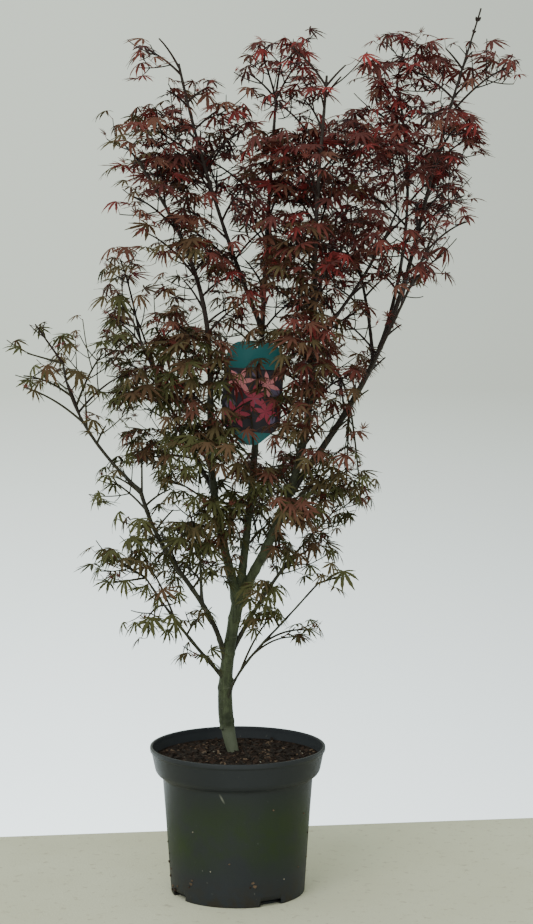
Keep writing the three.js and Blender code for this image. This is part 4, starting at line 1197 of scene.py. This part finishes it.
def stem_line(name):
    """A mass's stem leaves its bough below the mass, climbs to its middle and goes on beyond."""
    parent, at, _, _, _ = SPACES[name]
    middle, half = space_of(name)
    bough = limbs[parent]["line"]
    away = middle - bough(STEM_STARTS)
    off_slope = np.abs(away[:, 2] - STEM_SLOPE * np.hypot(away[:, 0], away[:, 1]))
    share = at or STEM_STARTS[np.argmin(off_slope + STEM_SHORT * np.linalg.norm(away, axis=1))]
    root = bough(share)
    way = middle - root
    beyond = middle + unit(way) * STEM_BEYOND * min(half)
    arch = 0 if share == 1 else STEM_ARCH * np.linalg.norm(way)
    return lambda t: root + (beyond - root) * t + UP * arch * 4 * t * (1 - t)


def side_way(along, pair, hand, random, angle):
    """The way a side twig or leaf points: pairs are a quarter turn on from the last."""
    level = unit(np.cross(along, UP) + LEVEL_SLACK) * hand
    other = np.cross(along, level)
    turn = math.radians(pair % 2 * PAIR_TURN + random.uniform(-PAIR_SLACK, PAIR_SLACK))
    side = level * math.cos(turn) + other * math.sin(turn)
    return unit(along * math.cos(angle) + side * math.sin(angle))


def bent(root, way, length, random):
    """The line of a twig: nearly straight, lifted towards its end, with a slight kink."""
    t = np.linspace(0, 1, max(3, int(length / TWIG_STEP) + 1))[:, None]
    side = unit(np.cross(way, UP) + LEVEL_SLACK)
    kink = random.uniform(-TWIG_KINK, TWIG_KINK) * length
    return root + way * length * t + UP * TWIG_LIFT * length * t ** 2 + side * kink * np.sin(np.pi * t)


twig_parts = []
leaf_seats = {name: [] for name in SPACES}


def bear(places, radii, name, random, order, tone):
    """Stores a twig, then gives each of its nodes a pair of twigs or leaves, and its tip a pair."""
    twig_parts.append((*tube(places, np.linspace(*radii, len(places)) * MM, TWIG_SIDES[order]), tone))
    run = np.concatenate([[0], np.cumsum(np.linalg.norm(np.diff(places, axis=0), axis=1))])
    gap = (STEM_NODE if order == 0 else TWIG_NODE) * random.uniform(*NODE_SPREAD)
    start = unit(places[-1] - places[0])
    first = max(room(places[0], start, name, 1.0)[1], STEM_BARE) if order == 0 else TWIG_BARE * gap
    for pair, stop in enumerate(np.arange(run[-1] - gap, first, -gap)):
        here = np.array([np.interp(stop, run, places[:, k]) for k in range(3)])
        index = min(np.searchsorted(run, stop), len(places) - 1)
        along = unit(places[index] - places[index - 1])
        for hand in (1, -1):
            way = side_way(along, pair + order, hand, random, TWIG_ANGLE)
            far = room(here, way, name, random.uniform(*TWIG_REACH))[0]
            long = min(far if order == 0 else FINE_REACH * far, LONGEST_TWIG * FINE_LENGTH ** order)
            twig = bent(here, way, long, random) if order < 2 and long > SHORTEST_TWIG else None
            if twig is not None and in_opening(twig[-1]) and random.random() < TWIG_SKY_SHARE:
                continue
            if twig is not None and is_clear(twig[1:], TWIG_ROOM) and not hides_tag(twig).any():
                bear(twig, (TWIG_RADIUS, FINE_RADIUS)[order], name, random, order + 1, tone)
            else:
                leaf_seats[name].append((here, way, PAIR_LEAF, False))
    along = unit(places[-1] - places[-2])
    for hand in (1, -1):
        way = side_way(along, 0, hand, random, TIP_ANGLE)
        leaf_seats[name].append((places[-1], way, TIP_LEAF, False))
    leaf_seats[name].append((places[-1], along, END_LEAF, random.random() < YOUNG_SHARE))


BUD_LENGTH, BUD_RADIUS = 3.6 * MM, 1.1 * MM
BUD_RUN = np.array([0, 0.35, 0.7, 1.0])
BUD_SWELL = np.array([0.6, 1.0, 0.75, 0.12])
BUD_LEAN = 1.5
BUD_PROUD = 0.6
BUD_SIDES = 5
BUD_NODES = ((0.88, 1.0), (0.905, 1.1), (0.93, 1.2), (0.952, 1.5), (0.975, 2.3))


def bud(place, way, size):
    """A small pointed bud."""
    line = place + np.outer(BUD_RUN * (BUD_LENGTH * size), unit(way))
    return tube(line, BUD_SWELL * (BUD_RADIUS * size), BUD_SIDES)


# The unpruned leader ends in a bare shoot with a pair of buds at each of these nodes: the share of
# its length, and the buds' size.
bare = limbs["right_leader"]
for pair, (share, size) in enumerate(BUD_NODES):
    here = bare["line"](share)
    along = unit(bare["line"](share + 0.01) - here)
    thick = float(bare["thickness"](share)) / 2
    for hand in (1, -1):
        level = unit(np.cross(along, UP)) * hand
        out = np.cross(along, level) if pair % 2 else level
        twig_parts.append((*bud(here + out * thick * BUD_PROUD, out + along * BUD_LEAN, size), 1))

for name in SPACES:
    random = np.random.default_rng([5, *name.encode()])
    line = stem_line(name)
    rings = max(FEWEST_RINGS, int(np.linalg.norm(line(1.0) - line(0.0)) / STEM_STEP))
    places = np.array([line(t) for t in np.linspace(0, 1, rings)])
    while len(places) > FEWEST_RINGS and in_opening(places[-1]):
        places = places[:-1]
    purple = (SPACES[name][2][2] - PURPLE_FROM) / PURPLE_OVER + random.uniform(-0.5, 0.5)
    bear(places, STEM_RADIUS, name, random, 0, int(np.clip(purple, 0, 1.99)))

twig_finishes = [
    mottled(name, colour, roughness=0.6, level=0.2, shade=0.6, Scale=120, Cover=0.45, Soft=0.25)
    for name, colour in TWIG_TONES
]
twigs = put("twigs", mesh_of("twigs", twig_parts, twig_finishes))
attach(twigs, "root")
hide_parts(*MASSES)

# Leaves: thin palmate blades of seven narrow toothed lobes on red stalks, hanging from their
# stalks' ends. They open dark red in the sun at the top and bronze to olive in the shade.
LEAF_LENGTH = 35.5 * MM
LEAF_LENGTHS = (0.68, 1.16)
YOUNG_LENGTH = 0.45
LOBES = ((0, 1.0), (31, 0.95), (62, 0.80), (98, 0.50))
LOBE_SLACK = 4
LOBE_LENGTHS = (0.92, 1.06)
LOBE_WIDTH = 0.094
LOBE_SWEEP = 0.09
LOBE_BEND = (0.8, 1.25)
WIDEST_AT = 0.55
LOBE_RISE, LOBE_FALL = (0.05, 0.5, 0.7), (0.45, 0.8)
KEEL = 0.035
EDGE_LIFT = 0.5
SINUS_LIFT = 0.02
SINUS = 0.21
OUTER_SIDE, OUTER_REACH = 0.35, 0.10
STATIONS = (0.25, 0.50, 0.76, 1.0)
TOOTH = 0.16
TOOTH_AT = 0.72
TILTS, CURLS, FOLDS = (0.0, 0.3), (0.12, 0.3), (0.2, 0.5)
DROOP_CURL = 0.9
FORMS = 18
STALK_LENGTHS = (0.4, 0.8)
STALK_RADII = (0.6, 0.45, 0.45, 0.5)
STALK_BOW = 0.55
STALK_RISE, YOUNG_RISE = (0.1, 0.5), 0.9
# How freely a leaf turns from the way of its node, and more at each further try.
LEAF_TRIES = 10
TURN_FIRST, TURN_MORE = 0.12, 0.6
LEVEL_TURN = 0.5
ROLL = 0.45
PITCH_LEAST, PITCH_MOST, PITCH_LESS_HIGH, YOUNG_PITCH = -0.1, 0.95, 0.45, -1.15
LEVEL_FROM, LEVEL_TO = 0.55, 1.05
BLADE_GAP = 11 * MM
BLADE_ROOM = 0.3 * MM
SPACE_REACH = 1.5
TAG_CLEAR = 0.88
LEAF_TONES = {
    "olive_leaf": (0.060, 0.060, 0.023), "green_bronze_leaf": (0.074, 0.055, 0.026),
    "bronze_leaf": (0.088, 0.051, 0.028), "brown_red_leaf": (0.106, 0.043, 0.030),
    "maroon_leaf": (0.116, 0.032, 0.027), "deep_maroon_leaf": (0.082, 0.025, 0.023),
    "red_leaf": (0.140, 0.021, 0.021), "bright_red_leaf": (0.22, 0.032, 0.033),
    "red_stalk": (0.085, 0.014, 0.012),
}
LEAF_SLOT = {name: slot for slot, name in enumerate(LEAF_TONES)}
# Redness rises from olive, at this height in metres, over so many metres, and towards the right.
OLIVE_BELOW, REDDER_OVER, REDDER_RIGHT = 0.42, 0.95, 0.95
SPRAY_VARIES = 0.12
TONE_STEPS = 5.6
TONE_VARIES = (-1.9, 1.8)
RED_MOST, BRIGHT_MOST = 0.26, 0.25
YOUNG_LOW_TONES = ("maroon_leaf", "deep_maroon_leaf", "brown_red_leaf")
YOUNG_HIGH_TONES = ("red_leaf", "bright_red_leaf", "maroon_leaf")
YOUNG_RED_FROM = 1.05
# The pieces that the leaves are joined into, and the heights between which their spaces lie.
LEAF_PIECES = (
    ("leaves_foot", 0, 640), ("leaves_low", 640, 850), ("leaves_middle", 850, 1020),
    ("leaves_high", 1020, 1170), ("leaves_top", 1170, 2000),
)
BOX_CLEAR = 0.5 * MM
cad_low, cad_high = np.array(cad_box[0]) + BOX_CLEAR, np.array(cad_box[1]) - BOX_CLEAR
leaf_random = np.random.default_rng(31)


def lobe_width(share):
    """Half the width of a lobe at a share of its length, as a share of the greatest."""
    if share < WIDEST_AT:
        start, over, curve = LOBE_RISE
        return ((share - start) / over) ** curve
    over, curve = LOBE_FALL
    return ((1 - share) / over) ** curve


def leaf_form(random, droop):
    """Corners and faces of one leaf a unit long, its heart at the origin, lobes along +X."""
    tilt = random.uniform(*TILTS) * droop
    curl = random.uniform(*CURLS) + DROOP_CURL * droop
    fold = random.uniform(*FOLDS)
    points, faces = [(0, 0, 0)], []

    def add(angle, away, bend, rise):
        """A corner at an angle and distance from the heart, on a blade bent down; its number."""
        lean = tilt + bend * away
        out = (math.sin(lean) - math.sin(tilt)) / bend
        drop = (math.cos(lean) - math.cos(tilt)) / bend
        points.append((out * math.cos(angle), out * math.sin(angle), drop + rise))
        return len(points) - 1

    left_lobes = [(-angle, long) for angle, long in LOBES[:0:-1]]
    lobes = []
    for angle, long in (*left_lobes, *LOBES):
        turned_to = math.radians(angle + random.uniform(-LOBE_SLACK, LOBE_SLACK))
        lobes.append((turned_to, long * random.uniform(*LOBE_LENGTHS)))
    gaps = [
        add((a + b) / 2, SINUS * min(long, other), curl, SINUS_LIFT)
        for (a, long), (b, other) in zip(lobes, lobes[1:])
    ]
    first = add(lobes[0][0] - OUTER_SIDE, OUTER_REACH, curl, 0.0)
    last = add(lobes[-1][0] + OUTER_SIDE, OUTER_REACH, curl, 0.0)
    edges = [first, *gaps, last]
    for index, (angle, long) in enumerate(lobes):
        bend = curl * random.uniform(*LOBE_BEND)
        sweep = random.uniform(-LOBE_SWEEP, LOBE_SWEEP)

        def beside(share, hand, swell):
            """A corner of the lobe's edge, outside or inside its plain width; its number."""
            wide = LOBE_WIDTH * long * lobe_width(share) * (1 + swell)
            turn = angle + sweep * share * share + hand * math.atan2(wide, share * long)
            return add(turn, math.hypot(share * long, wide), bend, fold * wide * EDGE_LIFT)

        spine = [add(angle + sweep * s * s, s * long, bend, -KEEL * fold * (1 - s)) for s in STATIONS]
        faces += [(0, edges[index], spine[0]), (0, spine[0], edges[index + 1])]
        for hand, before in ((-1, edges[index]), (1, edges[index + 1])):
            for k, (here, beyond) in enumerate(zip(STATIONS, STATIONS[1:])):
                ring = [spine[k], before, beside(here + TOOTH_AT * (beyond - here), hand, TOOTH)]
                if beyond < 1:
                    before = beside(beyond, hand, -TOOTH)
                    ring.append(before)
                ring.append(spine[k + 1])
                faces.append(tuple(ring if hand < 0 else ring[::-1]))
    kinds = [np.array([face for face in faces if len(face) == size]) for size in (3, 4, 5)]
    return np.array(points), kinds


leaf_forms = [leaf_form(leaf_random, index / FORMS) for index in range(FORMS)]
leaf_finishes = [
    finish(name, colour, 0.75, Specular_IOR_Level=0.12) for name, colour in LEAF_TONES.items()
]
blade_centres = np.full((1, 3), 9.0)


def leaf_tone(place, spray, random):
    """Deals a leaf its colour: red high and to the right, olive low and to the left."""
    red = np.clip((place[2] - OLIVE_BELOW) / REDDER_OVER + REDDER_RIGHT * place[0] + spray, 0, 1)
    if random.random() < RED_MOST * red ** 3:
        return LEAF_SLOT["bright_red_leaf" if random.random() < BRIGHT_MOST else "red_leaf"]
    return int(np.clip(red * TONE_STEPS + random.uniform(*TONE_VARIES), 0, LEAF_SLOT["deep_maroon_leaf"]))


def hung(seat, level_share, loose, random):
    """One try at a leaf: its blade's corners and faces, and its stalk's line."""
    root, wanted, size, young = seat
    long = LEAF_LENGTH * size * random.uniform(*LEAF_LENGTHS) * (YOUNG_LENGTH if young else 1)
    way = unit(wanted + random.normal(0, TURN_FIRST + TURN_MORE * loose, 3))
    stalk = long * random.uniform(*STALK_LENGTHS)
    heart = root + unit(way + UP * (YOUNG_RISE if young else random.uniform(*STALK_RISE))) * stalk
    level = unit(np.array([way[0], way[1], 0]) + LEVEL_SLACK)
    level = np.array([*spun(level[0], level[1], random.uniform(-LEVEL_TURN, LEVEL_TURN) * (1 + loose)), 0])
    most = PITCH_MOST - PITCH_LESS_HIGH * level_share
    pitch = YOUNG_PITCH if young else random.uniform(PITCH_LEAST, most)
    forward = level * math.cos(pitch) - UP * math.sin(pitch)
    face = level * math.sin(pitch) + UP * math.cos(pitch)
    side = np.cross(face, forward)
    roll = random.uniform(-ROLL, ROLL)
    rolled = side * math.cos(roll) + face * math.sin(roll)
    face = face * math.cos(roll) - side * math.sin(roll)
    points, faces = leaf_forms[int(FORMS * random.random() ** (1 + level_share))]
    t = np.linspace(0, 1, len(STALK_RADII))[:, None]
    bow = (1 - t) ** 2 * root + 2 * t * (1 - t) * (root + way * stalk * STALK_BOW) + t ** 2 * heart
    return heart + long * points @ np.array([forward, rolled, face]), faces, bow


def grow_leaf(seat, name, spray, random):
    """A leaf's middle and parts, once a try lies in its space and clear of the limbs, or None."""
    root, _, _, young = seat
    space_middle, half = space_of(name)
    level_share = np.clip((root[2] - LEVEL_FROM) / (LEVEL_TO - LEVEL_FROM), 0, 1)
    for attempt in range(LEAF_TRIES):
        blade, faces, bow = hung(seat, level_share, attempt / LEAF_TRIES, random)
        middle = blade.mean(axis=0)
        if hides_tag(middle) and random.random() < TAG_CLEAR:
            continue
        if np.any(np.linalg.norm((blade[::5] - space_middle) / half, axis=1) > SPACE_REACH):
            continue
        if np.any(blade.min(axis=0) < cad_low) or np.any(blade.max(axis=0) > cad_high):
            continue
        if np.min(np.linalg.norm(blade_centres - middle, axis=1)) < BLADE_GAP:
            continue
        if in_opening(middle) and random.random() < SKY_SHARE:
            return None
        if not is_clear(blade[::5], BLADE_ROOM):
            continue
        if young:
            tones = YOUNG_HIGH_TONES if root[2] + root[0] > YOUNG_RED_FROM else YOUNG_LOW_TONES
            tone = LEAF_SLOT[random.choice(tones)]
        else:
            tone = leaf_tone(middle, spray, random)
        stalk = tube(bow, np.array(STALK_RADII) * MM, 3, flat_tip=True)
        return middle, [(blade, faces, tone), (*stalk, LEAF_SLOT["red_stalk"])]
    return None


for piece_name, low, high in LEAF_PIECES:
    parts = []
    owners = [name for name in SPACES if low <= SPACES[name][2][2] < high]
    for name in owners:
        random = np.random.default_rng([9, *name.encode()])
        spray = random.uniform(-SPRAY_VARIES, SPRAY_VARIES)
        for seat in leaf_seats[name]:
            leaf = grow_leaf(seat, name, spray, random) if random.random() < SPACES[name][4] else None
            if leaf:
                blade_centres = np.vstack([blade_centres, leaf[0]])
                parts += leaf[1]
    leaves = put(piece_name, mesh_of(piece_name, parts, leaf_finishes))
    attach(leaves, "root")
    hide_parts(*[name for name in owners if name in MASSES])

# Tag: a hanging card of printed polypropylene with a rounded head and foot, teal at both ends,
# and between them a plain pattern of pink rosettes and lilac discs on a dark ground.
TAG_WIDE = 94 * MM
TAG_TALL = 165 * MM
TAG_THICK = 1.4 * MM
TAG_SHOULDER = 26 * MM
TAG_EYE = 3.2 * MM
TAG_EYE_DOWN = 9 * MM
TAG_TILT = math.radians(4)
TAG_PLACE = np.array([24, 9, 798]) * MM
TAG_CURL = 3 * MM
DISC_SIDES, EYE_SIDES = 18, 16
MERGE_BELOW = 1e-6
# All that follows is in shares of the card's width, from its middle: the dark panel's sides, foot
# and head; the card's rounding; the discs' middles and radii; the rosettes' middles and reach, and
# their turns in degrees. A petal's outline is in shares of its rosette's reach.
PANEL_SIDE, PANEL_FOOT, PANEL_HEAD = 0.6, -0.6545, 0.408
CARD_ROUND = 0.14
TAG_DISCS = (
    (-0.33, 0.28, 0.07), (0.36, 0.05, 0.09), (0.06, -0.12, 0.06), (-0.36, -0.20, 0.08), (0.33, -0.42, 0.08),
    (0.02, 0.33, 0.05),
)
PINK_ROSETTES = ((-0.22, 0.18, 0.25, 12), (0.24, 0.16, 0.23, 40))
ROSE_ROSETTES = ((0.02, -0.08, 0.24, 25), (-0.26, -0.36, 0.26, 0), (0.24, -0.30, 0.24, 50))
PETALS = 6
PETAL = ((0, 0), (0.35, -0.17), (0.7, -0.136), (1, 0), (0.7, 0.136), (0.35, 0.17))
TAG_TONES = {
    "teal_print": (0.002, 0.118, 0.128), "dark_print": (0.020, 0.014, 0.024),
    "lilac_print": (0.135, 0.105, 0.185), "pink_print": (0.78, 0.260, 0.290),
    "rose_print": (0.44, 0.040, 0.085), "card_back": (0.55, 0.56, 0.54),
}
TAG_SLOT = {name: slot for slot, name in enumerate(TAG_TONES)}


def circle(right, up, radius, sides=DISC_SIDES):
    """Corners of a circle."""
    angles = np.linspace(0, 2 * np.pi, sides, endpoint=False)
    return list(zip(right + radius * np.cos(angles), up + radius * np.sin(angles)))


def petals(rosettes):
    """Outlines of all the petals of some rosettes."""
    outlines = []
    for right, up, reach, turn in rosettes:
        for petal in range(PETALS):
            way = math.radians(turn + petal * 360 / PETALS)
            corners = [spun(along, beside, way) for along, beside in PETAL]
            outlines.append([(right + reach * x, up + reach * y) for x, y in corners])
    return outlines


def holds(outline, place):
    """True if a place lies inside an outline."""
    inside = False
    for (x1, y1), (x2, y2) in zip(outline, outline[1:] + outline[:1]):
        if (y1 > place[1]) != (y2 > place[1]) and place[0] < (x2 - x1) * (place[1] - y1) / (y2 - y1) + x1:
            inside = not inside
    return inside


def card_outline():
    """The card's outline: a blunt foot, a rounded head, and both sides alike."""
    top, half, shoulder = TAG_TALL / 2 / TAG_WIDE, 0.5, TAG_SHOULDER / TAG_WIDE
    right = [
        (0.30 * half, -top + 0.02), (0.86 * half, -top + shoulder), (half, -top + 1.4 * shoulder),
        (half, top - shoulder), (0.74 * half, top - 0.12 * shoulder),
    ]
    left = [(-across, up) for across, up in right[::-1]]
    rounding = [0, *[CARD_ROUND] * len(right), 0, *[CARD_ROUND] * len(left), 0]
    line = softened([(0, -top), *right, (0, top), *left, (0, -top)], rounding)
    return [tuple(corner) for corner in line[:-1]]


def card_mesh():
    """The card: a printed front cut along every outline on it, a plain back and its edges."""
    outline = card_outline()
    eye = circle(0, (TAG_TALL / 2 - TAG_EYE_DOWN) / TAG_WIDE, TAG_EYE / TAG_WIDE, EYE_SIDES)
    panel = [
        (-PANEL_SIDE, PANEL_FOOT), (PANEL_SIDE, PANEL_FOOT),
        (PANEL_SIDE, PANEL_HEAD), (-PANEL_SIDE, PANEL_HEAD),
    ]
    discs = [circle(*disc) for disc in TAG_DISCS]
    pink, rose = petals(PINK_ROSETTES), petals(ROSE_ROSETTES)
    places, edges = [], []
    for cut in (outline, eye, panel, *discs, *pink, *rose):
        first = len(places)
        places += [Vector(corner) for corner in cut]
        edges += [(first + i, first + (i + 1) % len(cut)) for i in range(len(cut))]
    points, _, faces, *_ = delaunay_2d_cdt(places, edges, [], 0, MERGE_BELOW)

    def print_tone(place):
        if not holds(panel, place):
            return "teal_print"
        for tone, cuts in (("pink_print", pink), ("rose_print", rose), ("lilac_print", discs)):
            if any(holds(cut, place) for cut in cuts):
                return tone
        return "dark_print"

    front, slots = [], []
    for face in faces:
        middle = np.mean([points[i] for i in face], axis=0)
        if holds(outline, middle) and not holds(eye, middle):
            front.append(tuple(face))
            slots.append(TAG_SLOT[print_tone(middle)])
    count = len(points)
    flat = np.array(points) * TAG_WIDE
    lift = TAG_CURL * (flat[:, 0] / (TAG_WIDE / 2)) ** 2 - TAG_CURL / 2
    both = np.concatenate([
        np.stack([flat[:, 0], depth + lift, flat[:, 1]], axis=1)
        for depth in (-TAG_THICK / 2, TAG_THICK / 2)
    ])
    sin, cos = math.sin(TAG_TILT), math.cos(TAG_TILT)
    lean = np.array([[cos, 0, -sin], [0, 1, 0], [sin, 0, cos]])
    sides = [side for face in front for side in zip(face, face[1:] + face[:1])]
    shared = set(sides)
    rim = [(b, a, a + count, b + count) for a, b in sides if (b, a) not in shared]
    back = [tuple(i + count for i in face[::-1]) for face in front]
    mesh = bpy.data.meshes.new("printed_card")
    mesh.from_pydata([tuple(point) for point in both @ lean + TAG_PLACE], [], front + back + rim)
    slots += [TAG_SLOT["card_back"]] * (len(back) + len(rim))
    mesh.polygons.foreach_set("material_index", slots)
    for name, colour in TAG_TONES.items():
        mesh.materials.append(finish(name, colour, 0.45, Specular_IOR_Level=0.3))
    return mesh


card = put("printed_card", card_mesh())
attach(card, "root")
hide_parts("tag")

# Thread: one loop of pale twisted polyester, round the back of the middle leader and under the
# top of the card's eye, which hangs on it.
THREAD_RADIUS = 0.7 * MM
THREAD_SNUG = 0.3 * MM
THREAD_SIDES = 6
THREAD_STEPS = 8
OVER_TAG = 2 * MM
TIED_ABOVE = 7 * MM
UP_TAG = np.array([math.sin(TAG_TILT), 0, math.cos(TAG_TILT)])
tag_eye = TAG_PLACE + UP_TAG * (TAG_TALL / 2 - TAG_EYE_DOWN + TAG_EYE - THREAD_RADIUS - THREAD_SNUG)
tag_over = TAG_PLACE + UP_TAG * (TAG_TALL / 2 + OVER_TAG)
leader = limbs["middle_leader"]
leader_foot, leader_tip = leader["line"](0.0), leader["line"](1.0)
tied = (tag_over[2] + TIED_ABOVE - leader_foot[2]) / (leader_tip[2] - leader_foot[2])
tied_at = leader["line"](tied)
snug = float(leader["thickness"](tied)) / 2 + THREAD_RADIUS + THREAD_SNUG


def beside(base, right, back, up):
    """A place some millimetres away from another."""
    return base + np.array([right, back, up]) * MM


loop = [
    beside(tied_at, 0, snug / MM, 1), beside(tied_at, 7, 0, 0), beside(tied_at, 7, -7, -2),
    beside(tag_over, 1, -2.4, 0), beside(tag_eye, 0.6, -3.2, 1.6), tag_eye,
    beside(tag_eye, -0.6, 2.8, 1.8), beside(tied_at, -2.8, -7, -3), beside(tied_at, -7, 0, 0),
]


def round_loop(corners, steps):
    """A smooth closed line through the corners."""
    line = []
    for index in range(len(corners)):
        a, b, c, d = (corners[(index + k) % len(corners)] for k in (-1, 0, 1, 2))
        for t in np.linspace(0, 1, steps, endpoint=False):
            bends = (2 * a - 5 * b + 4 * c - d) * t ** 2 + (3 * b - a - 3 * c + d) * t ** 3
            line.append(0.5 * (2 * b + (c - a) * t + bends))
    return np.array(line + [line[0]])


thread_line = round_loop(loop, THREAD_STEPS)
thread_tube = tube(thread_line, np.full(len(thread_line), THREAD_RADIUS), THREAD_SIDES)
thread_finish = finish("pale_polyester_thread", (0.62, 0.62, 0.55), 0.8, Specular_IOR_Level=0.2)
thread = put("tag_loop", mesh_of("tag_loop", [(*thread_tube, 0)], [thread_finish]))
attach(thread, "root")
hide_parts("tag_thread")
